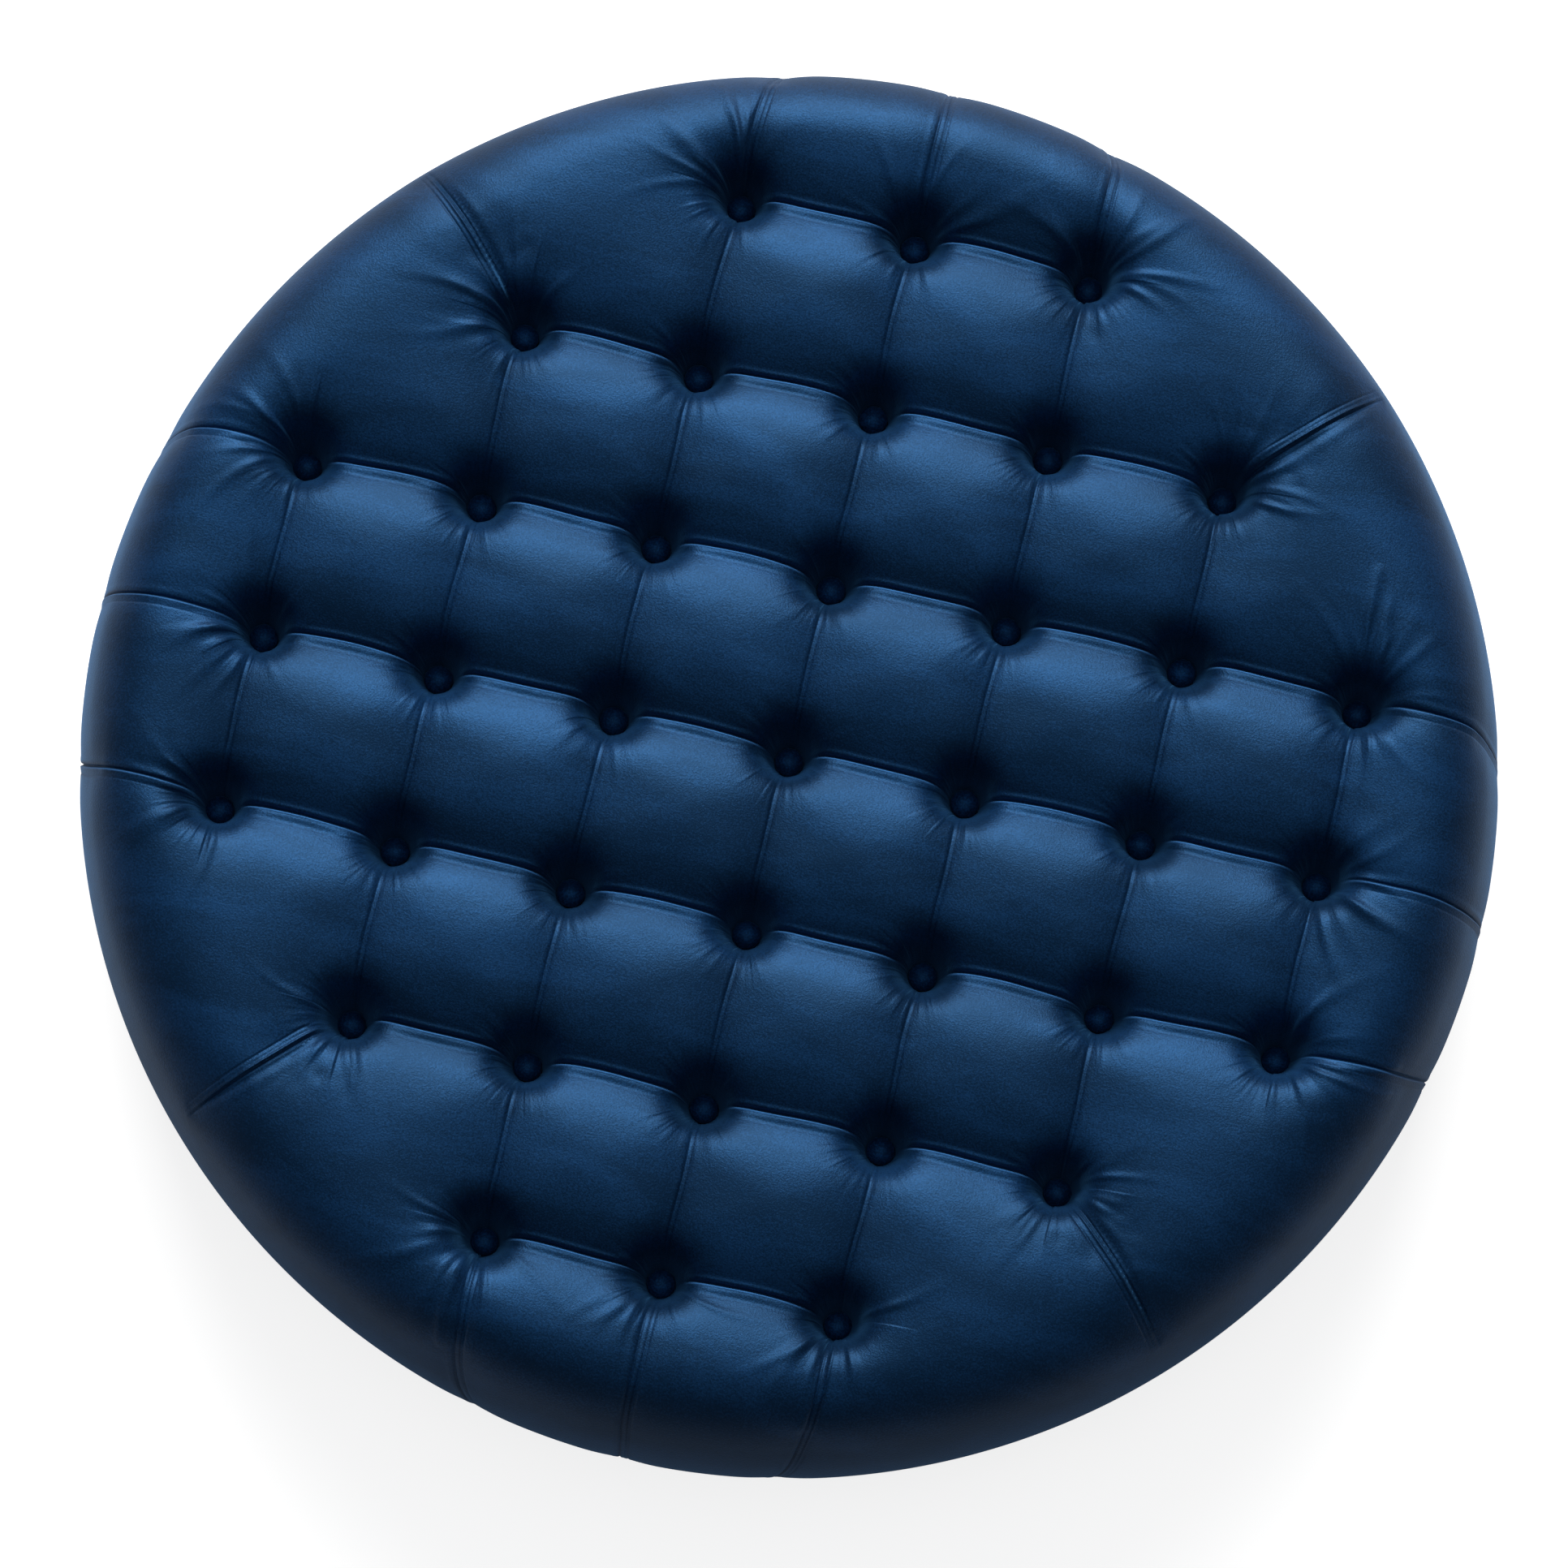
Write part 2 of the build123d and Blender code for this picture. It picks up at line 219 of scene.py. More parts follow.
# Velvet pile: fine standing fibres as height, and slow patches where the nap leans another way.
def makePileGroup():
    group, entry, leave = newGroup(
        "velvetPile",
        [("Vector", "NodeSocketVector", None), ("Base", "NodeSocketColor", (0.01, 0.04, 0.1, 1)),
         ("Lifted", "NodeSocketColor", (0.02, 0.07, 0.17, 1)), ("Fibre Scale", "NodeSocketFloat", 900.0),
         ("Patch Scale", "NodeSocketFloat", 14.0), ("Patch Amount", "NodeSocketFloat", 0.6)],
        [("Color", "NodeSocketColor"), ("Height", "NodeSocketFloat"), ("Nap", "NodeSocketFloat")],
    )
    link = group.links.new
    fibre = addNode(group, "ShaderNodeTexNoise", {"Detail": 2.0, "Roughness": 0.6})
    link(entry.outputs["Vector"], fibre.inputs["Vector"])
    link(entry.outputs["Fibre Scale"], fibre.inputs["Scale"])
    patch = addNode(group, "ShaderNodeTexNoise", {"Detail": 4.0, "Roughness": 0.55, "Distortion": 0.6})
    brushed = addNode(group, "ShaderNodeMapping", {"Scale": (0.55, 1.8, 1.0)})    # the nap is brushed along X
    link(entry.outputs["Vector"], brushed.inputs["Vector"])
    link(brushed.outputs[0], patch.inputs["Vector"])
    link(entry.outputs["Patch Scale"], patch.inputs["Scale"])
    spread = addRange(group, patch.outputs[0], 0.35, 0.68)
    amount = addMath(group, "MULTIPLY", spread, entry.outputs["Patch Amount"])
    grain = addRange(group, fibre.outputs[0], 0.3, 0.7, -0.45, 0.45)
    nap = addMath(group, "ADD", amount, grain, clamp=True)
    link(mixColors(group, nap, entry.outputs["Base"], entry.outputs["Lifted"]), leave.inputs["Color"])
    link(fibre.outputs[0], leave.inputs["Height"])
    link(nap, leave.inputs["Nap"])
    return group


# Small cells of two sizes, for foam, wadding, non-woven cloth and zinc.
def makeSpeckleGroup():
    group, entry, leave = newGroup(
        "speckle",
        [("Vector", "NodeSocketVector", None), ("Dark", "NodeSocketColor", (0.5, 0.5, 0.5, 1)),
         ("Light", "NodeSocketColor", (0.8, 0.8, 0.8, 1)), ("Cell Scale", "NodeSocketFloat", 400.0),
         ("Cloud Scale", "NodeSocketFloat", 12.0)],
        [("Color", "NodeSocketColor"), ("Height", "NodeSocketFloat")],
    )
    link = group.links.new
    cells = addNode(group, "ShaderNodeTexVoronoi", feature="F1")
    link(entry.outputs["Vector"], cells.inputs["Vector"])
    link(entry.outputs["Cell Scale"], cells.inputs["Scale"])
    clouds = addNode(group, "ShaderNodeTexNoise", {"Detail": 3.0})
    link(entry.outputs["Vector"], clouds.inputs["Vector"])
    link(entry.outputs["Cloud Scale"], clouds.inputs["Scale"])
    both = addMath(group, "MULTIPLY", cells.outputs["Distance"], clouds.outputs[0], clamp=True)
    lifted = addRange(group, both, 0.05, 0.4)
    link(mixColors(group, lifted, entry.outputs["Dark"], entry.outputs["Light"]), leave.inputs["Color"])
    link(cells.outputs["Distance"], leave.inputs["Height"])
    return group


# Fine creases that run out from each button of a square grid. The grid's nearest crossing gives a local vector;
# its direction and a little of its length, moved far off for each crossing, are where a noise is read.
def makeCreaseGroup():
    group, entry, leave = newGroup(
        "buttonCreases",
        [("Vector", "NodeSocketVector", None), ("Per Metre", "NodeSocketFloat", 8.6),
         ("Mask", "NodeSocketFloat", 1.0), ("Folds", "NodeSocketFloat", 3.4)],
        [("Height", "NodeSocketFloat")],
    )
    link = group.links.new
    scaled = addVectorMath(group, "SCALE", entry.outputs["Vector"], entry.outputs["Per Metre"])
    crossing = addVectorMath(group, "FLOOR", addVectorMath(group, "ADD", scaled, (0.5, 0.5, 0.0)))
    local = addVectorMath(group, "SUBTRACT", scaled, crossing)
    spoke = addVectorMath(group, "SCALE", addVectorMath(group, "NORMALIZE", local), entry.outputs["Folds"])
    apart = addVectorMath(group, "MULTIPLY", crossing, (17.3, 17.3, 0.0))
    lift = addNode(group, "ShaderNodeCombineXYZ")
    link(addVectorMath(group, "LENGTH", local), lift.inputs["Z"])
    where = addVectorMath(group, "ADD", addVectorMath(group, "ADD", spoke, apart), lift.outputs[0])
    folds = addNode(group, "ShaderNodeTexNoise", {"Scale": 1.6, "Detail": 1.0, "Roughness": 0.5})
    link(where, folds.inputs["Vector"])
    sharp = addRange(group, folds.outputs[0], 0.42, 0.68, kind="SMOOTHSTEP")
    link(addMath(group, "MULTIPLY", sharp, entry.outputs["Mask"]), leave.inputs["Height"])
    return group


cornerPleat = {
    "length": 0.145,           # of the run on which it shows
    "bow": 0.0015,             # sideways at the middle of the run
    "bead": (-0.0014, 0.0011),      # place across the pleat, and width
    "groove": (0.0011, 0.0010),
    "step": (-0.0062, 0.0009),
    "stepShare": 0.45,         # of the bead's height
    "appears": (0.07, 0.22),   # shares of the run
    "fades": (0.75, 0.99),
}


# One folded pleat on each diagonal of the sheet, outside the last button there. Its offset is the difference of
# the two coordinates' sizes over root two, its run their sum over root two less the button's own distance.
# Height is a bead less a groove and less a thin step, each a bell across the pleat, fading at both ends of the run.
def makeCornerGroup():
    group, entry, leave = newGroup(
        "cornerPleat",
        [("Vector", "NodeSocketVector", None), ("Begin", "NodeSocketFloat", 0.32),
         ("Length", "NodeSocketFloat", cornerPleat["length"]), ("Bow", "NodeSocketFloat", cornerPleat["bow"])],
        [("Height", "NodeSocketFloat")],
    )

    def maths(operation, first, second=None, clamp=False):
        return addMath(group, operation, first, second, clamp)

    def bellAcross(offset, middle, width):
        share = maths("DIVIDE", maths("SUBTRACT", offset, middle), width)
        return maths("POWER", math.e, maths("MULTIPLY", maths("MULTIPLY", share, share), -1.0))

    parts = addNode(group, "ShaderNodeSeparateXYZ")
    group.links.new(entry.outputs["Vector"], parts.inputs[0])
    across, along = maths("ABSOLUTE", parts.outputs[0]), maths("ABSOLUTE", parts.outputs[1])
    run = maths("SUBTRACT", maths("MULTIPLY", maths("ADD", across, along), math.sqrt(0.5)), entry.outputs["Begin"])
    share = maths("DIVIDE", run, entry.outputs["Length"], True)
    bow = maths("MULTIPLY", maths("SINE", maths("MULTIPLY", share, math.pi)), entry.outputs["Bow"])
    gap = maths("MULTIPLY", maths("SUBTRACT", across, along), math.sqrt(0.5))
    offset = maths("SUBTRACT", maths("MULTIPLY", gap, maths("SIGN", parts.outputs[0])), bow)
    bead, groove, step = (bellAcross(offset, *cornerPleat[part]) for part in ("bead", "groove", "step"))
    fold = maths("SUBTRACT", maths("SUBTRACT", bead, groove), maths("MULTIPLY", step, cornerPleat["stepShare"]))
    begin = addRange(group, share, *cornerPleat["appears"], kind="SMOOTHSTEP")
    end = addRange(group, share, *cornerPleat["fades"], 1.0, 0.0, kind="SMOOTHSTEP")
    group.links.new(maths("MULTIPLY", maths("MULTIPLY", fold, begin), end), leave.inputs["Height"])
    return group


pileGroup = makePileGroup()
creaseGroup = makeCreaseGroup()
cornerGroup = makeCornerGroup()
speckleGroup = makeSpeckleGroup()


def startMaterial(name, roughness, coordinates="Object"):
    material = bpy.data.materials.new(name)
    material.use_nodes = True
    tree = material.node_tree
    shader = tree.nodes["Principled BSDF"]
    shader.inputs["Roughness"].default_value = roughness
    place = addNode(tree, "ShaderNodeTexCoord")
    return material, tree, shader, place.outputs[coordinates]


def addBump(tree, shader, height, strength, distance):
    bump = addNode(tree, "ShaderNodeBump", {"Strength": strength, "Distance": distance})
    tree.links.new(height, bump.inputs["Height"])
    tree.links.new(bump.outputs["Normal"], shader.inputs["Normal"])
    return bump


velvetFinish = {
    "base": (0.0006, 0.0044, 0.0155, 1),
    "lifted": (0.0028, 0.0200, 0.068, 1),
    "roughness": 0.49,
    "flatShine": 0.60,      # specular level where the pile lies flat and where it stands open
    "openShine": 0.88,
    "specularTint": (0.10, 0.42, 1.0, 1),
    "sheen": 0.34,
    "sheenRoughness": 0.35,
    "sheenTint": (0.12, 0.45, 1.0, 1),
    "fibreScale": 800.0,
    "patchScale": 16.0,
    "patchAmount": 0.6,
    "buttonPatchScale": 60.0,
    "buttonPatchAmount": 0.4,
    "buttonPaintedLight": 4.0,      # painted light: the button velvet's colours are scaled up, standing in for light on the sunk buttons
    "bumpStrength": 0.5,
    "bumpDepth": 0.0005,
    "creaseDepth": 0.0008,
    "cornerDepth": 0.0013,
    "paintedFoldHighlight": (0.035, 0.130, 0.33, 1),     # painted highlight: a light blue mixed in along the lit edge of a fold
}


def makeVelvet(name, patchScale, patchAmount, lift=1.0, creased=False):
    material, tree, shader, place = startMaterial(name, velvetFinish["roughness"])
    pile = addNode(tree, "ShaderNodeGroup", node_tree=pileGroup)
    tree.links.new(place, pile.inputs["Vector"])
    # lift scales both colours; above one, as on the buttons, it is painted light
    pile.inputs["Base"].default_value = [lift * part for part in velvetFinish["base"][:3]] + [1.0]
    pile.inputs["Lifted"].default_value = [lift * part for part in velvetFinish["lifted"][:3]] + [1.0]
    pile.inputs["Fibre Scale"].default_value = velvetFinish["fibreScale"]
    pile.inputs["Patch Scale"].default_value = patchScale
    pile.inputs["Patch Amount"].default_value = patchAmount
    tree.links.new(pile.outputs["Color"], shader.inputs["Base Color"])
    shader.inputs["Sheen Weight"].default_value = velvetFinish["sheen"]
    shader.inputs["Sheen Roughness"].default_value = velvetFinish["sheenRoughness"]
    shader.inputs["Sheen Tint"].default_value = velvetFinish["sheenTint"]
    shader.inputs["Specular Tint"].default_value = velvetFinish["specularTint"]
    shine = addRange(tree, pile.outputs["Nap"], 0.0, 1.0, velvetFinish["flatShine"], velvetFinish["openShine"])
    tree.links.new(shine, shader.inputs["Specular IOR Level"])
    bump = addBump(tree, shader, pile.outputs["Height"], velvetFinish["bumpStrength"], velvetFinish["bumpDepth"])
    if creased:
        sheet = addNode(tree, "ShaderNodeUVMap", uv_map="sheet")
        mask = addNode(tree, "ShaderNodeAttribute", attribute_name="creased")
        creases = addNode(tree, "ShaderNodeGroup", {"Per Metre": 1 / pitch}, node_tree=creaseGroup)
        tree.links.new(sheet.outputs[0], creases.inputs["Vector"])
        tree.links.new(mask.outputs["Fac"], creases.inputs["Mask"])
        corner = addNode(tree, "ShaderNodeGroup", {"Begin": 2 * math.sqrt(2) * pitch}, node_tree=cornerGroup)
        tree.links.new(sheet.outputs[0], corner.inputs["Vector"])
        cornerUnder = addNode(tree, "ShaderNodeBump", {"Strength": 1.0, "Distance": velvetFinish["cornerDepth"]})
        tree.links.new(corner.outputs["Height"], cornerUnder.inputs["Height"])
        under = addNode(tree, "ShaderNodeBump", {"Strength": 1.0, "Distance": velvetFinish["creaseDepth"]})
        tree.links.new(creases.outputs["Height"], under.inputs["Height"])
        tree.links.new(cornerUnder.outputs["Normal"], under.inputs["Normal"])
        tree.links.new(under.outputs["Normal"], bump.inputs["Normal"])
        # Painted highlight: a light blue mixed into the colour along the lips of the row pleats' folds.
        edge = addNode(tree, "ShaderNodeAttribute", attribute_name="paintedFoldHighlight")
        paint = mixColors(tree, edge.outputs["Fac"], pile.outputs["Color"], velvetFinish["paintedFoldHighlight"])
        tree.links.new(paint, shader.inputs["Base Color"])
        # Painted shade: the specular level is dimmed along the column pleats' closing lines.
        shade = addNode(tree, "ShaderNodeAttribute", attribute_name="foldShade")
        unshadedShare = addMath(tree, "SUBTRACT", 1.0, shade.outputs["Fac"])
        tree.links.new(addMath(tree, "MULTIPLY", shine, unshadedShare), shader.inputs["Specular IOR Level"])
    return material


def makeSpeckled(name, dark, light, roughness, cellScale, cloudScale, depth, metallic=0.0):
    material, tree, shader, place = startMaterial(name, roughness)
    speckle = addNode(tree, "ShaderNodeGroup", node_tree=speckleGroup)
    tree.links.new(place, speckle.inputs["Vector"])
    speckle.inputs["Dark"].default_value = (*dark, 1)
    speckle.inputs["Light"].default_value = (*light, 1)
    speckle.inputs["Cell Scale"].default_value = cellScale
    speckle.inputs["Cloud Scale"].default_value = cloudScale
    tree.links.new(speckle.outputs["Color"], shader.inputs["Base Color"])
    shader.inputs["Metallic"].default_value = metallic
    addBump(tree, shader, speckle.outputs["Height"], 0.5, depth)
    return material


def makePlywood():
    material, tree, shader, place = startMaterial("plywood", 0.65)
    stretch = addNode(tree, "ShaderNodeMapping", {"Scale": (9.0, 140.0, 40.0)})
    tree.links.new(place, stretch.inputs["Vector"])
    grain = addNode(tree, "ShaderNodeTexNoise", {"Scale": 1.0, "Detail": 6.0, "Roughness": 0.6, "Distortion": 0.4})
    tree.links.new(stretch.outputs[0], grain.inputs["Vector"])
    plies = addNode(tree, "ShaderNodeTexWave", {"Scale": 110.0, "Distortion": 0.3}, bands_direction="Z")
    tree.links.new(place, plies.inputs["Vector"])
    face = mixColors(tree, grain.outputs[0], (0.50, 0.33, 0.18, 1), (0.74, 0.56, 0.36, 1))
    layered = mixColors(tree, 0.25, face, plies.outputs["Color"], "MULTIPLY")
    tree.links.new(layered, shader.inputs["Base Color"])
    addBump(tree, shader, grain.outputs[0], 0.3, 0.0004)
    return material


def makeTwine():
    material, tree, shader, place = startMaterial("twine", 0.55)
    lay = addNode(tree, "ShaderNodeTexWave", {"Scale": 420.0, "Distortion": 1.5}, bands_direction="DIAGONAL")
    tree.links.new(place, lay.inputs["Vector"])
    tint = mixColors(tree, lay.outputs["Fac"], (0.62, 0.58, 0.48, 1), (0.88, 0.86, 0.78, 1))
    tree.links.new(tint, shader.inputs["Base Color"])
    addBump(tree, shader, lay.outputs["Fac"], 0.6, 0.0002)
    return material


finishes = {
    "velvet": makeVelvet("velvet", velvetFinish["patchScale"], velvetFinish["patchAmount"], creased=True),
    # The buttons' velvet carries painted light: its colours are lightened.
    "button_velvet": makeVelvet("buttonVelvetPaintedLight", velvetFinish["buttonPatchScale"], velvetFinish["buttonPatchAmount"],
                                velvetFinish["buttonPaintedLight"]),
    "plywood": makePlywood(),
    "firm_foam": makeSpeckled("firmFoam", (0.70, 0.64, 0.42), (0.90, 0.86, 0.66), 0.95, 700.0, 9.0, 0.0006),
    "edge_foam": makeSpeckled("edgeFoam", (0.55, 0.66, 0.62), (0.80, 0.88, 0.85), 0.95, 600.0, 9.0, 0.0006),
    "soft_foam": makeSpeckled("softFoam", (0.78, 0.74, 0.66), (0.95, 0.93, 0.88), 0.95, 520.0, 9.0, 0.0006),
    "wadding": makeSpeckled("wadding", (0.80, 0.80, 0.79), (0.96, 0.96, 0.95), 1.0, 90.0, 20.0, 0.002),
    "dust_cloth": makeSpeckled("dustCloth", (0.006, 0.006, 0.007), (0.030, 0.030, 0.032), 0.9, 900.0, 30.0, 0.0002),
    "staple_wire": makeSpeckled("stapleWire", (0.50, 0.50, 0.51), (0.72, 0.72, 0.73), 0.32, 1500.0, 60.0, 0.00005, 1.0),
    "zinc_steel": makeSpeckled("zincSteel", (0.52, 0.53, 0.55), (0.76, 0.77, 0.79), 0.38, 260.0, 40.0, 0.00005, 1.0),
    "button_metal": makeSpeckled("buttonMetal", (0.60, 0.60, 0.61), (0.80, 0.80, 0.81), 0.35, 1200.0, 50.0, 0.00004,
                                 1.0),
    "loop_wire": makeSpeckled("loopWire", (0.45, 0.45, 0.47), (0.68, 0.68, 0.70), 0.3, 1500.0, 50.0, 0.00004, 1.0),
    "twine": makeTwine(),
}
slotOf = {part["node"]: part["material_slot"] for part in frame["record"]["subparts"]}
for nodeName, nodeObject in frame["nodes"].items():
    nodeObject.data.materials.clear()
    nodeObject.data.materials.append(finishes[slotOf[nodeName]])
print("materials made:", len(finishes))


cover = {
    "shoulderRadius": 0.050,   # between crown and side
    "edgeTuck": 0.020,         # from the bulge in to the bottom edge
    "widestHeight": 0.088,
    "hemBend": 0.004,
    "hemWidth": 0.055,
    "sheetHalf": 0.600,        # half side of the square sheet of points
    "straightReach": 0.425,    # within this the points keep a square grid
    "throat": 0.008,           # flat seat under a button
    "funnelSpread": 0.0080,
    "funnelPower": 1.05,
    "tension": 0.020,          # extra drop of a pleat where it runs down to a button
    "tensionLength": 0.017,
    "tensionReach": 0.030,
    "saddleDrop": 0.0185,      # row pleats below the crown, midway between buttons
    "columnDrop": 0.0085,      # column pleats
    "pillowReach": 0.058,      # from a pleat to the top of the tuft
    "pleatPinch": 0.06,        # share of that drop close beside the pleat
    "joinPower": 1.7,          # how funnels and pleats run into each other
    "rimDrop": 0.0018,         # pleats over the edge
    "rimReach": 0.030,
    "seed": 7,
    "wander": 0.0006,          # of a pleat, sideways
    "rimEase": 0.035,          # run in which a pleat over the edge flattens out
    "rimFade": (0.20, 0.27),
    "diagonalBow": 0.004,      # sideways, of the corner pleats
    "diagonalBowRun": 0.12,
    "diagonalEase": 0.045,
    "diagonalFade": (0.10, 0.16),
    "diagonalFoldRise": (0.010, 0.026),
    "diagonalFoldFade": (0.095, 0.135),
    "fineColumns": 0.00075,    # spacing of points across column pleats
    "fineRows": 0.00048,       # and across row pleats
    "fineBand": 0.011,
    "coarse": 0.0028,
}


# Radii, centres and angles of the two arcs of the side, and the arc lengths at which each stretch ends.
def edgeOutline():
    tuck, rise = cover["edgeTuck"], cover["widestHeight"] - hemLevel
    side = (tuck**2 + rise**2) / (2 * tuck)
    sideX = coverRadius - side
    shoulder = cover["shoulderRadius"]
    shoulderZ = crownHeight - shoulder
    shoulderX = sideX + math.sqrt((side - shoulder) ** 2 - (shoulderZ - cover["widestHeight"]) ** 2)
    join = math.atan2(shoulderZ - cover["widestHeight"], shoulderX - sideX)
    bend = cover["hemBend"]
    foot = math.asin((hemLevel + bend - cover["widestHeight"]) / (side - bend))
    arcs = [
        (shoulderX, shoulderZ, shoulder, math.pi / 2, join),
        (sideX, cover["widestHeight"], side, join, foot),
        (sideX + (side - bend) * math.cos(foot), hemLevel + bend, bend, foot, -math.pi / 2),
    ]
    return shoulderX, arcs


crownReach, edgeArcs = edgeOutline()
arcEnds = crownReach + np.cumsum([radius * (start - end) for x, z, radius, start, end in edgeArcs])
sheetLength = arcEnds[-1] + cover["hemWidth"]


# Radius, height and facing angle of the plain cushion at a distance along its surface from the middle.
def outlineAt(length):
    radius, height = length.copy(), np.full_like(length, crownHeight)
    facing = np.full_like(length, math.pi / 2)
    begin = crownReach
    for (x, z, arc, start, end), stop in zip(edgeArcs, arcEnds):
        on = (length > begin) & (length <= stop)
        angle = start - (length[on] - begin) / arc
        radius[on], height[on], facing[on] = x + arc * np.cos(angle), z + arc * np.sin(angle), angle
        begin = stop
    under = length > begin
    radius[under] = edgeArcs[-1][0] - (length[under] - begin)
    height[under], facing[under] = hemLevel, -math.pi / 2
    return radius, height, facing


# Distance from the middle along the surface, and direction, for points of the square sheet.
#
# Within the straight reach a point keeps its place. Beyond it, the distance left to the square's edge in
# that direction is stretched, smoothly at first, to the distance left to the sheet's own edge.
def sheetToSurface(across, along, total=None):
    reach = np.hypot(across, along)
    angle = np.arctan2(along, across)
    edge = cover["sheetHalf"] / np.maximum(np.abs(np.cos(angle)), np.abs(np.sin(angle)))
    start = cover["straightReach"]
    left = (total or sheetLength) - start
    share = np.clip((reach - start) / (edge - start), 0, 1)
    first = (edge - start) / left
    length = np.where(reach > start, start + left * (first * share + (1 - first) * share**2), reach)
    return length, angle


def smoothRise(value, low, high):
    share = np.clip((value - low) / (high - low), 0, 1)
    return share * share * (3 - 2 * share)


def bell(value, middle, width):
    return np.exp(-(((value - middle) / width) ** 2))


def buttonDistance(across, along):
    nearest = np.full(across.shape, 9.0)
    for x, y in buttonSpots:
        nearest = np.minimum(nearest, np.hypot(across - x, along - y))
    return nearest


# How far the cover is pulled in at a distance from the nearest button: flat seat, then an easing slope.
def funnelDrop(distance):
    depth = crownHeight - buttonFloor
    out = np.maximum(distance - cover["throat"], 0)
    return depth * np.exp(-((out / cover["funnelSpread"]) ** cover["funnelPower"]))


# One beside a pleat, falling to nothing at reach: a parabola, so a tuft is round all over, and a steeper
# part close to the pleat.
def valley(distance, reach):
    left = 1 - np.clip(distance / reach, 0, 1)
    return (1 - cover["pleatPinch"]) * left**2 + cover["pleatPinch"] * left**8


# Each pleat as (kind, axis, line, from, to): pleats between buttons, and those that run over the edge.
def pleatLines():
    lines = []
    for i, j in sorted(buttonCells):
        if (i + 1, j) in buttonCells:
            lines.append(("row", 0, j * pitch, i * pitch, (i + 1) * pitch))
        elif abs(j) <= 1:
            lines.append(("rimRow", 0, j * pitch, i * pitch, cover["sheetHalf"] * 1.01))
        if (i - 1, j) not in buttonCells and abs(j) <= 1:
            lines.append(("rimRow", 0, j * pitch, -cover["sheetHalf"] * 1.01, i * pitch))
        if (i, j + 1) in buttonCells:
            lines.append(("column", 1, i * pitch, j * pitch, (j + 1) * pitch))
        elif abs(i) <= 1:
            lines.append(("rimColumn", 1, i * pitch, j * pitch, cover["sheetHalf"] * 1.01))
        if (i, j - 1) not in buttonCells and abs(i) <= 1:
            lines.append(("rimColumn", 1, i * pitch, -cover["sheetHalf"] * 1.01, j * pitch))
    return lines


# A slow sideways wander of a pleat along its length, different on each line.
def waver(place, line, size):
    phase = line * 91.7
    return size * (np.sin(place * 37.0 + phase) + 0.6 * np.sin(place * 83.0 + 2.3 * phase))


foldShape = {
    # distances in metres from the pleat, positive towards +Y or -X
    "row": {"ridge": 0.0014, "ridgeAt": 0.0040, "ridgeWidth": 0.0018, "groove": 0.0012, "grooveAt": 0.0017,
            "grooveWidth": 0.0007, "flap": 0.0031, "flapWidth": 0.0075, "step": 0.0001, "bead": 0.0006},
    "column": {"ridge": 0.0001, "ridgeAt": 0.0040, "ridgeWidth": 0.0014, "groove": 0.0009, "grooveAt": 0.0014,
               "grooveWidth": 0.0008, "flap": 0.0001, "flapWidth": 0.0020, "step": 0.0002, "bead": 0.0001},
    "rimRow": {"ridge": 0.0004, "ridgeAt": 0.0045, "ridgeWidth": 0.0022, "groove": 0.0018, "grooveAt": 0.0012,
               "grooveWidth": 0.0007, "flap": 0.0008, "flapWidth": 0.0050, "step": 0.0003, "bead": 0.0003},
    "rimColumn": {"ridge": 0.0003, "ridgeAt": 0.0060, "ridgeWidth": 0.0020, "groove": 0.0014, "grooveAt": 0.0020,
                  "grooveWidth": 0.0007, "flap": 0.0001, "flapWidth": 0.0050, "step": 0.0007, "bead": 0.0001},
    "diagonal": {"ridge": 0.0008, "ridgeAt": 0.0060, "ridgeWidth": 0.0030, "groove": 0.0010, "grooveAt": 0.0010,
                 "grooveWidth": 0.0022, "flap": 0.0010, "flapWidth": 0.0070, "step": 0.0000, "bead": 0.0000},
}


# Height of the folded cloth across a pleat: a rolled ridge, less a narrow groove, plus a flap that starts with a
# sharp lip and sinks back slowly, less a small step at the flap's end, plus a bead along the lip.
def foldHeight(kind, offset):
    size = foldShape[kind]
    ridge = size["ridge"] * bell(offset, size["ridgeAt"], size["ridgeWidth"])
    groove = size["groove"] * bell(offset, size["grooveAt"], size["grooveWidth"])
    flapEnd = size["grooveAt"] - size["grooveWidth"] - size["flapWidth"]
    lip = size["grooveAt"] - 0.7 * size["grooveWidth"]
    flap = size["flap"] * smoothRise(offset, flapEnd, lip - 0.0012)
    flap = flap * (1 - smoothRise(offset, lip - 0.0010, lip + 0.0006))
    step = size["step"] * bell(offset, flapEnd - 0.0006, 0.0007)
    bead = size["bead"] * bell(offset, size["grooveAt"] - 2.0 * size["grooveWidth"], 0.0007)
    return ridge - groove + flap - step + bead


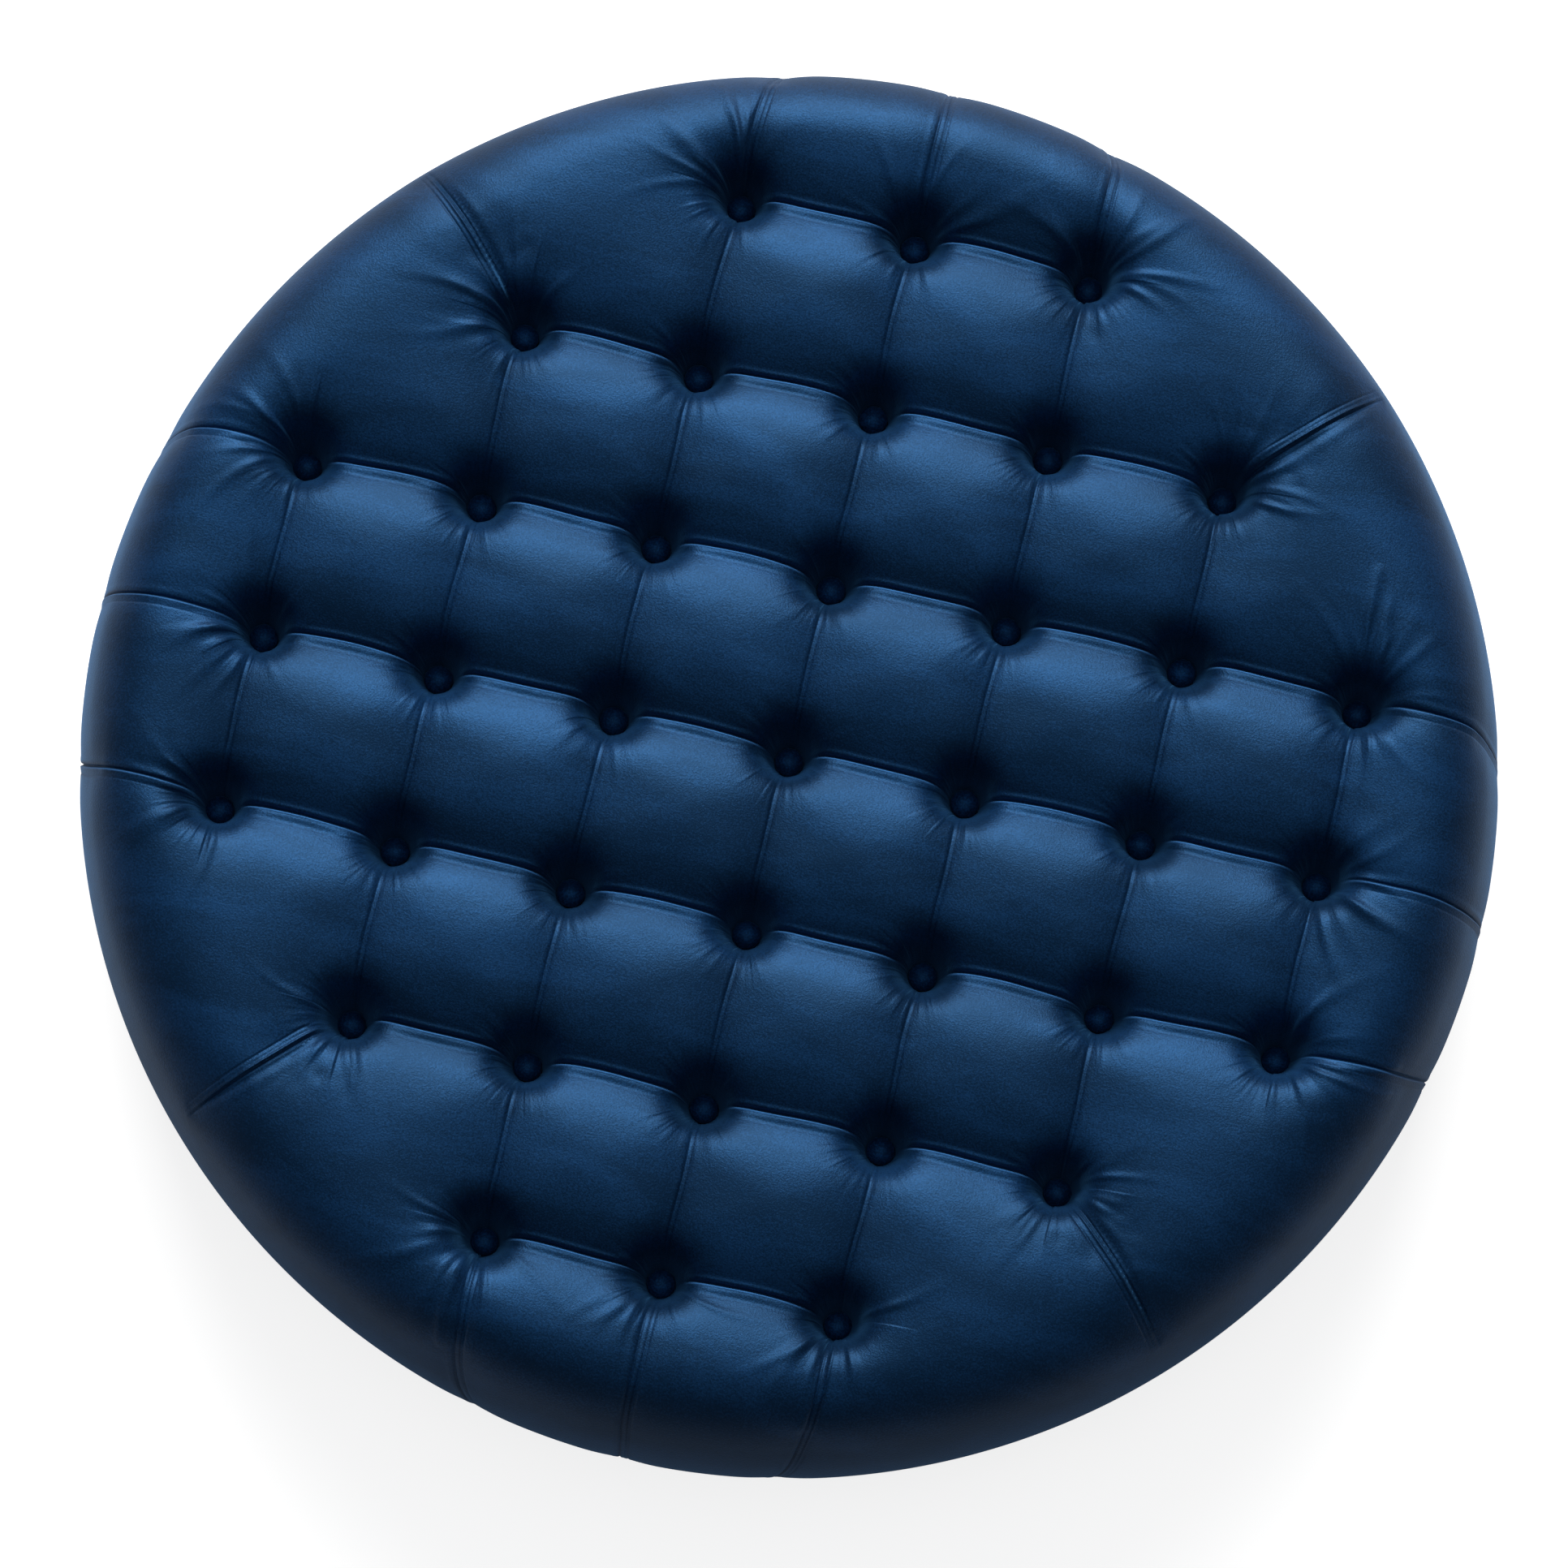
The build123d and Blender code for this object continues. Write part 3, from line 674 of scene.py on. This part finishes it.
# How far each sheet point lies below the plain cushion: funnels and pleat valleys joined smoothly,
# plus the folded cloth of the pleats, the gathers round the buttons and slow unevenness.
def surfaceDrop(across, along, detail=True):
    near = buttonDistance(across, along)
    sunk = funnelDrop(near) ** cover["joinPower"]
    fold = np.zeros_like(across)
    for kind, axis, line, start, stop in pleatLines():
        place, offset = (across, along) if axis == 0 else (along, across)
        if start <= place.min() and stop >= place.max():
            continue
        offset = offset - line - waver(place, line + (start if kind.startswith("rim") else 0), cover["wander"])
        inside = (place > start) & (place < stop) & (np.abs(offset) < cover["pillowReach"])
        if not inside.any():
            continue
        spot, gap = place[inside], offset[inside]
        if axis == 1:
            gap = -gap
        if kind.startswith("rim"):
            button = start if abs(start) < abs(stop) else stop
            run = np.abs(spot - button)
            depth = cover["rimDrop"] + (cover["columnDrop"] - cover["rimDrop"]) * np.exp(-run / cover["rimEase"])
            depth += cover["tension"] * np.exp(-run / cover["tensionLength"])
            depth *= 1 - smoothRise(run, *cover["rimFade"])
            share = valley(np.abs(gap), cover["rimReach"])
            ends = smoothRise(run, 0.008, 0.020) * (1 - 0.75 * smoothRise(run, 0.10, 0.24))
        else:
            run = np.minimum(spot - start, stop - spot)
            depth = cover["saddleDrop"] if kind == "row" else cover["columnDrop"]
            share = valley(np.abs(gap), cover["pillowReach"])
            ends = smoothRise(run, 0.009, 0.022)
            pull = cover["tension"] * np.exp(-run / cover["tensionLength"])
            share = share + pull / depth * valley(np.abs(gap), cover["tensionReach"])
        sunk[inside] += (depth * share) ** cover["joinPower"]
        if detail:
            fold[inside] += ends * foldHeight(kind, gap)
    for signX in (-1, 1):
        for signY in (-1, 1):
            first = 2 * pitch
            run = (across * signX + along * signY) / math.sqrt(2) - first * math.sqrt(2)
            gap = (across * signX - along * signY) / math.sqrt(2)
            bow = np.sin(np.clip(run / cover["diagonalBowRun"], 0, 1) * math.pi)
            gap = gap - cover["diagonalBow"] * bow * signX
            inside = (run > 0) & (np.abs(gap) < cover["pillowReach"])
            away, offset = run[inside], gap[inside] * signX
            depth = cover["rimDrop"] + (cover["columnDrop"] - cover["rimDrop"]) * np.exp(-away / cover["diagonalEase"])
            depth += cover["tension"] * np.exp(-away / cover["tensionLength"])
            depth *= 1 - smoothRise(away, *cover["diagonalFade"])
            sunk[inside] += (depth * valley(np.abs(offset), cover["rimReach"])) ** cover["joinPower"]
            if detail:
                ends = smoothRise(away, *cover["diagonalFoldRise"]) * (1 - smoothRise(away, *cover["diagonalFoldFade"]))
                fold[inside] += ends * foldHeight("diagonal", offset)
    drop = sunk ** (1 / cover["joinPower"])
    if detail:
        drop -= fold
        drop -= gatherHeight(across, along)
    length, angle = sheetToSurface(across, along)
    settle = 1 - smoothRise(length, arcEnds[1] - 0.05, arcEnds[1] - 0.005)
    return drop * settle


gathers = {
    "inner": 11,               # small gathers round a button among others
    "outer": 20,               # and round one beside the edge
    "innerDepth": 0.0006,
    "outerDepth": 0.0019,
    "innerLength": 0.016,
    "outerLength": 0.036,
    "fanAngles": (168, 156, 143),      # folds into which a row pleat opens before the button at its +X end
    "fanDepth": 0.0012,
    "fanLength": 0.014,
    "creaseAngles": (250, 222, 292),   # short creases on the -Y side of a button
    "creaseDepth": 0.0008,
    "creaseLength": 0.020,
    "strayDepth": 0.0022,              # long creases seen at single buttons near the edge
    "strayLength": 0.050,
    "stray": {(-3, -1): (178, 193, 206), (-1, -3): (224, 238, 251), (1, -3): (270, 283), (3, -1): (318, 333, 345),
              (-3, 1): (150, 161), (-1, 3): (98, 150, 172), (0, 3): (20,), (1, 3): (12, 30), (3, 1): (92, 106, 120),
              (-2, 2): (141, 120), (2, 2): (38, 60), (-2, -2): (230,), (2, -2): (322,)},
}


# Fine ridges that fan out from each button, deepest just outside it, each with its own angle and length.
def gatherHeight(across, along):
    random = np.random.default_rng(cover["seed"])
    height = np.zeros_like(across)
    for (x, y), (i, j) in zip(buttonSpots, np.round(buttonSpots / pitch).astype(int)):
        openSides = [a for a, b in ((0, (i + 1, j)), (90, (i, j + 1)), (180, (i - 1, j)), (270, (i, j - 1)))
                 if b not in buttonCells]
        near = np.hypot(across - x, along - y)
        local = near < 0.085
        distance = near[local]
        bearing = np.arctan2(along[local] - y, across[local] - x)
        total = np.zeros_like(distance)
        folds = []
        for k in range(gathers["outer"] if openSides else gathers["inner"]):
            angle = random.uniform(0, 2 * math.pi)
            outward = bool(openSides) and math.cos(angle - math.atan2(y, x)) > 0.1
            folds.append((angle, gathers["outerDepth"] if outward else gathers["innerDepth"],
                          gathers["outerLength"] if outward else gathers["innerLength"], 0.0016))
        if (i - 1, j) in buttonCells:
            folds += [(math.radians(angle), gathers["fanDepth"], gathers["fanLength"], 0.0009)
                      for angle in gathers["fanAngles"]]
        folds += [(math.radians(angle), gathers["creaseDepth"], gathers["creaseLength"], 0.0011)
                  for angle in gathers["creaseAngles"]]
        folds += [(math.radians(angle), gathers["strayDepth"], gathers["strayLength"], 0.0014)
                  for angle in gathers["stray"].get((i, j), ())]
        for angle, depth, length, narrow in folds:
            angle += random.uniform(-0.12, 0.12)
            depth *= random.uniform(0.4, 1.2)
            length *= random.uniform(0.6, 1.3)
            width = narrow * random.uniform(0.7, 1.3) + 0.030 * distance
            swing = 0.25 * random.uniform(-1, 1) * (distance / 0.05)
            turn = np.angle(np.exp(1j * (bearing - angle - swing)))
            reach = smoothRise(distance, 0.010, 0.016) * np.exp(-((np.maximum(distance - 0.016, 0) / length) ** 2))
            total += depth * reach * np.exp(-((turn * distance / width) ** 2))
        height[local] += total
    return height


pleatMarks = {
    "highlightWidth": 0.00055,           # painted highlight along the lit edge of a row pleat's fold
    "highlightFade": (0.011, 0.024),     # from the ends of the pleat
    "rimHighlight": 0.45,                # its strength where the pleat runs over the edge
    "shadeWidth": 0.0007,           # painted shade line where a column pleat closes
    "shadeStrength": 0.85,
    "shadeFade": (0.008, 0.020),
    "secondGap": 0.0034,            # from it to a second, fainter painted shade line
    "secondWidth": 0.0006,
    "secondShare": 0.6,
}


# Lines along the pleats of one direction: a profile of the distance from the pleat, fading at both ends.
def pleatMask(across, along, axis, fade, profile):
    mask = np.zeros(across.shape)
    place, beside = (across, along) if axis == 0 else (along, across)
    for kind, lineAxis, line, start, stop in pleatLines():
        if lineAxis != axis:
            continue
        offset = beside - line - waver(place, line + (start if kind.startswith("rim") else 0), cover["wander"])
        run = np.minimum(place - start, stop - place)
        mask = np.maximum(mask, np.where(run > 0, smoothRise(run, *fade) * profile(kind, offset), 0))
    return mask


# Painted highlight along the edge of a row pleat's fold: a narrow bell on its lip, which lightens the velvet's colour
# there.
def paintedHighlightMask(across, along):
    def profile(kind, offset):
        lip = foldShape[kind]["grooveAt"] - 2.0 * foldShape[kind]["grooveWidth"]
        return (1.0 if kind == "row" else pleatMarks["rimHighlight"]) * bell(offset, lip, pleatMarks["highlightWidth"])

    return pleatMask(across, along, 0, pleatMarks["highlightFade"], profile)


# Painted shade where the cloth closes on itself beside a column pleat: two thin bells, the second fainter, that dim the
# velvet's specular level.
def shadeMask(across, along):
    def profile(kind, offset):
        groove = foldShape[kind]["grooveAt"]
        second = bell(offset, groove - pleatMarks["secondGap"], pleatMarks["secondWidth"])
        pair = np.maximum(bell(offset, groove, pleatMarks["shadeWidth"]), pleatMarks["secondShare"] * second)
        return pleatMarks["shadeStrength"] * pair

    return pleatMask(across, along, 1, pleatMarks["shadeFade"], profile)


# Where fine creases show: a ring round each button, from its edge to about 45 mm out, strongest towards -X and -Y.
def creaseMask(across, along):
    nearest, bearing = np.full(across.shape, 9.0), np.zeros(across.shape)
    for x, y in buttonSpots:
        away = np.hypot(across - x, along - y)
        bearing = np.where(away < nearest, np.arctan2(along - y, across - x), bearing)
        nearest = np.minimum(nearest, away)
    ring = smoothRise(nearest, 0.009, 0.014) * (1 - smoothRise(nearest, 0.016, 0.050))
    return ring * (0.52 + 0.48 * np.cos(bearing - math.radians(205)))


def coverPoints(across, along, drop, total=None):
    length, angle = sheetToSurface(across, along, total)
    radius, height, facing = outlineAt(length)
    radius = radius - drop * np.cos(facing)
    height = height - drop * np.sin(facing)
    return np.stack([radius * np.cos(angle), radius * np.sin(angle), height], axis=-1)


# Coordinates of a sheet's lines: fine within a band of each mark, easing to coarse between. The number of lines
# up to a place is the sum of one over the spacing there.
def spacedLines(half, marks, fine, coarse, band):
    place = np.linspace(-half, half, 24001)
    away = np.min(np.abs(place[:, None] - np.array(marks)[None, :]), axis=1)
    step = fine + (coarse - fine) * smoothRise(away, band, band * 2.2)
    count = np.cumsum(1 / step)
    total = int(round((count[-1] - count[0]) * (place[1] - place[0])))
    return np.interp(np.linspace(count[0], count[-1], total), count, place)


buttonLines = [k * pitch for k in range(-gridRows, gridRows + 1)]


def gridFaces(rows, columns):
    index = np.arange(rows * columns).reshape(rows, columns)
    return np.stack([index[:-1, :-1], index[:-1, 1:], index[1:, 1:], index[1:, :-1]], axis=-1).reshape(-1, 4)


def meshFromArrays(name, points, faces, uv=None):
    mesh = bpy.data.meshes.new(name)
    mesh.vertices.add(len(points))
    mesh.vertices.foreach_set("co", np.ascontiguousarray(points, np.float32).ravel())
    mesh.loops.add(faces.size)
    mesh.loops.foreach_set("vertex_index", np.ascontiguousarray(faces, np.int32).ravel())
    mesh.polygons.add(len(faces))
    mesh.polygons.foreach_set("loop_start", np.arange(len(faces), dtype=np.int32) * faces.shape[1])
    mesh.update(calc_edges=True)
    mesh.polygons.foreach_set("use_smooth", np.ones(len(faces), bool))
    if uv is not None:
        layer = mesh.uv_layers.new(name="sheet")
        layer.data.foreach_set("uv", np.ascontiguousarray(uv[faces.ravel()], np.float32).ravel())
    mesh.validate()
    return mesh


def addPiece(name, mesh, finish):
    piece = bpy.data.objects.new(name, mesh)
    bpy.context.scene.collection.objects.link(piece)
    mesh.materials.append(finishes[finish])
    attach(piece, "root")
    return piece


puff = {
    "spacing": 0.0075,         # of the simulated cloth
    "pressure": 13.0,
    "frames": 20,
    "cap": 0.006,              # furthest any point may move
    "heldRadius": 0.016,       # round each button
    "heldPleat": 0.004,        # each side of each pleat
    "quality": 6,
    "mass": 0.3,
    "stretchStiffness": 25,
    "shearStiffness": 10,
    "bendingStiffness": 0.8,
}


# Inflates a coarse copy of the cover with cloth pressure, held at buttons, pleats and hem.
# Gives the grid's lines and how far each of its points moved.
def simulatePuff():
    half = cover["sheetHalf"]
    count = int(2 * half / puff["spacing"]) | 1
    lines = np.linspace(-half, half, count)
    across, along = np.meshgrid(lines, lines)
    drop = surfaceDrop(across.ravel(), along.ravel(), detail=False)
    start = coverPoints(across.ravel(), along.ravel(), drop)
    mesh = meshFromArrays("puffMesh", start, gridFaces(count, count))
    cloth = bpy.data.objects.new("puff", mesh)
    bpy.context.scene.collection.objects.link(cloth)
    length, angle = sheetToSurface(across.ravel(), along.ravel())
    near = buttonDistance(across.ravel(), along.ravel())
    held = (near < puff["heldRadius"]) | (length > arcEnds[1] - 0.02)
    for kind, axis, line, begin, stop in pleatLines():
        place, offset = (across, along) if axis == 0 else (along, across)
        on = (place >= begin) & (place <= stop) & (np.abs(offset - line) < puff["heldPleat"])
        held |= on.ravel() & ((not kind.startswith("rim")) | (near < 0.08))
    group = cloth.vertex_groups.new(name="held")
    group.add(np.nonzero(held)[0].tolist(), 1.0, "REPLACE")
    modifier = cloth.modifiers.new("cloth", "CLOTH")
    settings = modifier.settings
    settings.quality = puff["quality"]
    settings.mass = puff["mass"]
    settings.tension_stiffness = puff["stretchStiffness"]
    settings.compression_stiffness = puff["stretchStiffness"]
    settings.shear_stiffness = puff["shearStiffness"]
    settings.bending_stiffness = puff["bendingStiffness"]
    settings.use_pressure = True
    settings.uniform_pressure_force = puff["pressure"]
    settings.vertex_group_mass = "held"
    settings.pin_stiffness = 1.0
    settings.effector_weights.gravity = 0.0
    modifier.collision_settings.use_collision = False
    modifier.collision_settings.use_self_collision = False
    modifier.point_cache.frame_start = 1
    modifier.point_cache.frame_end = puff["frames"]
    scene = bpy.context.scene
    for number in range(1, puff["frames"] + 1):
        scene.frame_set(number)
    final = cloth.evaluated_get(bpy.context.evaluated_depsgraph_get()).to_mesh()
    moved = np.zeros(len(start) * 3, np.float32)
    final.vertices.foreach_get("co", moved)
    moved = moved.reshape(-1, 3) - start
    cloth.evaluated_get(bpy.context.evaluated_depsgraph_get()).to_mesh_clear()
    scene.frame_set(1)
    bpy.data.objects.remove(cloth)
    size = np.linalg.norm(moved, axis=1, keepdims=True)
    moved *= np.minimum(1, puff["cap"] / np.maximum(size, 1e-9))
    print("cloth moved by up to", round(float(size.max()) * 1000, 1), "mm, mean", round(float(size.mean()) * 1000, 2))
    return lines, moved.reshape(count, count, 3)


# Values on a coarse square grid, read between its points at the sheet's own points.
def spreadOver(lines, values, across, along):
    step = lines[1] - lines[0]
    column = np.clip((across - lines[0]) / step, 0, len(lines) - 1.001)
    row = np.clip((along - lines[0]) / step, 0, len(lines) - 1.001)
    c, r = column.astype(int), row.astype(int)
    u, v = (column - c)[:, None], (row - r)[:, None]
    low = values[r, c] * (1 - u) + values[r, c + 1] * u
    high = values[r + 1, c] * (1 - u) + values[r + 1, c + 1] * u
    return low * (1 - v) + high * v


def makeCover(puffLines, puffMoves):
    linesX = spacedLines(cover["sheetHalf"], buttonLines, cover["fineColumns"], cover["coarse"], cover["fineBand"])
    linesY = spacedLines(cover["sheetHalf"], buttonLines, cover["fineRows"], cover["coarse"], cover["fineBand"])
    across, along = (grid.ravel() for grid in np.meshgrid(linesX, linesY))
    points = coverPoints(across, along, surfaceDrop(across, along))
    if puffMoves is not None:
        points += spreadOver(puffLines, puffMoves, across, along)
    uv = np.stack([across, along], axis=-1)
    mesh = meshFromArrays("cover", points, gridFaces(len(linesY), len(linesX)), uv)
    # creased places the fine crease bumps; the other two masks carry a painted highlight and painted shade.
    for label, mask in (("creased", creaseMask), ("paintedFoldHighlight", paintedHighlightMask), ("foldShade", shadeMask)):
        layer = mesh.attributes.new(label, "FLOAT", "POINT")
        layer.data.foreach_set("value", mask(across, along).astype(np.float32))
    piece = addPiece("tufted_cover", mesh, "velvet")
    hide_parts("velvet_cover")
    print("cover:", len(points), "points")
    return piece


# A closed mesh between two surfaces on one grid: both faces, and a wall along every open edge.
def closedSlab(name, upper, lower, faces):
    edges = np.concatenate([faces[:, [0, 1]], faces[:, [1, 2]], faces[:, [2, 3]], faces[:, [3, 0]]])
    codes = np.sort(edges, axis=1) @ np.array([len(upper), 1])
    unique, first, times = np.unique(codes, return_index=True, return_counts=True)
    rim = edges[first[times == 1]]
    walls = np.stack([rim[:, 1], rim[:, 0], rim[:, 0] + len(upper), rim[:, 1] + len(upper)], axis=1)
    allFaces = np.concatenate([faces, faces[:, ::-1] + len(upper), walls])
    used = np.unique(allFaces)
    renumber = np.zeros(2 * len(upper), np.int64)
    renumber[used] = np.arange(len(used))
    return meshFromArrays(name, np.concatenate([upper, lower])[used], renumber[allFaces])


padding = {
    "fine": 0.0055,            # spacing of points near the pleats
    "coarse": 0.0095,
    "underCover": 0.0028,      # top of the wadding below the velvet
    "underPleat": 0.0095,      # and more where the velvet is folded
    "waddingDepth": 0.0042,
    "loopHole": 0.0065,
    "foamGap": 0.0008,
}


# One on a pleat, easing to nothing 16 mm away, or 20 mm from a diagonal one.
def pleatCloseness(across, along):
    close = np.zeros_like(across)
    for kind, axis, line, start, stop in pleatLines():
        place, offset = (across, along) if axis == 0 else (along, across)
        on = (place > start) & (place < stop)
        close = np.where(on, np.maximum(close, 1 - smoothRise(np.abs(offset - line), 0.007, 0.016)), close)
    for sign in (-1, 1):
        on = np.minimum(np.abs(across), np.abs(along)) > 1.9 * pitch
        gap = np.abs(across - sign * along) / math.sqrt(2)
        close = np.where(on, np.maximum(close, 1 - smoothRise(gap, 0.010, 0.020)), close)
    return close


# Wadding and foam topper under the velvet, pressed down along the pleats as the cover is.
def makePadding():
    lines = spacedLines(cover["sheetHalf"], buttonLines, padding["fine"], padding["coarse"], 0.010)
    across, along = (grid.ravel() for grid in np.meshgrid(lines, lines))
    near = buttonDistance(across, along)
    faces = gridFaces(len(lines), len(lines))
    base = surfaceDrop(across, along, detail=False)
    close = pleatCloseness(across, along)
    top = base + padding["underCover"] + (padding["underPleat"] - padding["underCover"]) * close
    bottom = top + padding["waddingDepth"] * (1 - 0.4 * close)
    waddingLength = arcEnds[1] - 0.002
    upper = coverPoints(across, along, top, waddingLength)
    lower = coverPoints(across, along, bottom, waddingLength)
    keep = (near[faces] > padding["loopHole"]).all(axis=1)
    wadding = addPiece("wadding_layer", closedSlab("waddingLayer", upper, lower, faces[keep]), "wadding")
    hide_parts("wadding")

    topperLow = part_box("foam_topper")[0]
    sideLengths = np.linspace(arcEnds[0] - 0.03, arcEnds[1], 400)
    sideHeights = outlineAt(sideLengths)[1]
    topperLength = float(np.interp(-topperLow.z - 0.002, -sideHeights, sideLengths))
    upper = coverPoints(across, along, bottom + padding["foamGap"], topperLength)
    lower = upper.copy()
    lower[:, 2] = topperLow.z
    upper[:, 2] = np.maximum(upper[:, 2], topperLow.z + 0.0005)
    high = upper[:, 2] > topperLow.z + 0.004
    ring = np.hypot(across, along) > 0.5
    keep = (high | ring)[faces].all(axis=1)
    topper = addPiece("foam_topper_pressed", closedSlab("foamTopper", upper, lower, faces[keep]), "soft_foam")
    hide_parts("foam_topper")
    print("wadding and topper:", 2 * len(across), "points each")


button = {
    "around": 48,
    "cloth": 0.0009,
    "lipHole": 0.0055,
    "skirt": 0.0021,
    "edgeRound": 0.0007,
    "pucker": 0.00012,
}


# Radius and height round the cap's wall: lip, rounded edge, skirt and dome, then back inside.
def buttonOutline():
    radius = (buttonBoxes[buttonNames[0]][1].x - buttonBoxes[buttonNames[0]][0].x) / 2
    height = buttonTop - buttonFloor
    turn = np.linspace(-math.pi / 2, 0, 5)
    edge = [(radius - button["edgeRound"] * (1 - math.cos(a)), button["edgeRound"] * (1 + math.sin(a))) for a in turn]
    rise = height - button["skirt"]
    dome = []
    for inset in (0.0, button["cloth"]):
        arc = (radius**2 + rise**2) / (2 * rise)
        first = math.asin((radius - inset) / (arc - inset))
        sweep = np.linspace(first, 0, 13)
        dome.append([((arc - inset) * math.sin(a), height - arc + (arc - inset) * math.cos(a)) for a in sweep])
    inner = [(radius - button["cloth"], button["cloth"]), (button["lipHole"], button["cloth"])]
    return np.array([(button["lipHole"], 0.0)] + edge + dome[0] + dome[1][::-1] + inner)


# Each covered button: the cap's outline turned round, with faint puckers where the cloth is gathered.
def makeButtons():
    outline = buttonOutline()
    around = np.linspace(0, 2 * math.pi, button["around"], endpoint=False)
    index = np.arange(len(outline) * len(around)).reshape(len(outline), len(around))
    following = np.roll(index, -1, axis=1)
    below, belowNext = np.roll(index, -1, axis=0), np.roll(following, -1, axis=0)
    faces = np.stack([index, following, belowNext, below], axis=-1).reshape(-1, 4)
    for number, (name, (x, y)) in enumerate(zip(buttonNames, buttonSpots)):
        random = np.random.default_rng(100 + number)
        phase, folds = random.uniform(0, 2 * math.pi), random.integers(9, 13)
        share = smoothRise(outline[:, 0], 0.0045, 0.0088)[:, None]
        wave = button["pucker"] * share * np.sin(folds * around + phase + 0.8 * np.sin(2 * around))
        radius = np.maximum(outline[:, :1] + wave, 0)
        height = outline[:, 1:] + 0 * around
        points = np.stack([x + radius * np.cos(around), y + radius * np.sin(around), buttonFloor + height], axis=-1)
        mesh = meshFromArrays(name + "Cap", points.reshape(-1, 3), faces)
        tool = bmesh.new()
        tool.from_mesh(mesh)
        bmesh.ops.remove_doubles(tool, verts=tool.verts, dist=1e-6)
        bmesh.ops.dissolve_degenerate(tool, edges=tool.edges, dist=1e-7)
        bmesh.ops.recalc_face_normals(tool, faces=tool.faces)
        tool.to_mesh(mesh)
        tool.free()
        cap = addPiece(name.replace("button", "covered_button"), mesh, "button_velvet")
        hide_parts(name)
    print("buttons made:", len(buttonNames))


dustCover = {
    "foldWidth": 0.020,
    "foldGap": 0.0006,         # from the cloth up to its folded edge
    "level": 0.0002,
    "waves": 0.00022,
    "pucker": 0.00028,         # at the staples
    "staples": 60,
    "boltHole": 0.0048,
    "flangeRadius": 0.011,     # of the threaded inserts
}


# The cloth under the board: a square of points drawn out to a disc, where the larger of the two coordinates is the
# radius. Beyond the disc's edge the sheet turns up and back in. It waves a little and puckers at each staple.
def makeDustCover():
    low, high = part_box("dust_cover")
    radius = (high.x - low.x) / 2
    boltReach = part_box("tee_nuts")[1].x - dustCover["flangeRadius"]
    total = radius + dustCover["foldWidth"]
    lines = spacedLines(total, (-total, -boltReach, 0.0, boltReach, total), 0.0013, 0.0050, 0.007)
    exact = [sign * (radius + shift) for sign in (-1, 1) for shift in (-0.0006, 0.0, 0.0006)]
    lines = np.unique(np.concatenate([lines, exact]).round(7))
    across, along = (grid.ravel() for grid in np.meshgrid(lines, lines))
    sheetRadius = np.maximum(np.abs(across), np.abs(along))
    angle = np.arctan2(along, across)
    folded = sheetRadius > radius
    reach = np.where(folded, 2 * radius - sheetRadius, sheetRadius)
    staple = bell(sheetRadius, radius - dustCover["foldWidth"] / 2, 0.009)
    pucker = dustCover["pucker"] * staple * (0.5 + 0.5 * np.cos(dustCover["staples"] * angle)) ** 3
    wave = 0.5 + 0.25 * np.sin(61 * across + 2.0) * np.sin(47 * along) + 0.25 * np.sin(23 * across * (1 + along))
    height = dustCover["level"] + pucker + dustCover["waves"] * wave * (1 - staple)
    height += dustCover["foldGap"] * smoothRise(sheetRadius, radius - 0.0006, radius + 0.0006)
    points = np.stack([reach * np.cos(angle), reach * np.sin(angle), height], axis=-1)
    faces = gridFaces(len(lines), len(lines))[:, ::-1]
    centres = points[faces].mean(axis=1)
    keep = np.ones(len(faces), bool)
    for x, y in ((boltReach, 0), (-boltReach, 0), (0, boltReach), (0, -boltReach)):
        flat = sheetRadius < radius - dustCover["foldWidth"]
        away = np.hypot(points[:, 0] - x, points[:, 1] - y)
        keep &= (np.hypot(centres[:, 0] - x, centres[:, 1] - y) > dustCover["boltHole"]) | (centres[:, 2] > 0.0007)
        edge = flat & (away > 1e-6) & (np.abs(away - dustCover["boltHole"]) < 0.0007)
        pull = (dustCover["boltHole"] / np.maximum(away, 1e-6))[:, None]
        centre = np.array([x, y])
        points[edge, :2] = (centre + (points[:, :2] - centre) * pull)[edge]
    used, renumbered = np.unique(faces[keep], return_inverse=True)
    uv = np.stack([across, along], axis=-1)[used]
    mesh = meshFromArrays("dustCover", points[used], renumbered.reshape(-1, 4), uv)
    piece = addPiece("dust_cover_cloth", mesh, "dust_cloth")
    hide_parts("dust_cover")
    print("dust cover:", len(used), "points")


makeStudio()
puffLines, puffMoves = simulatePuff()
makeCover(puffLines, puffMoves)
makePadding()
makeButtons()
makeDustCover()
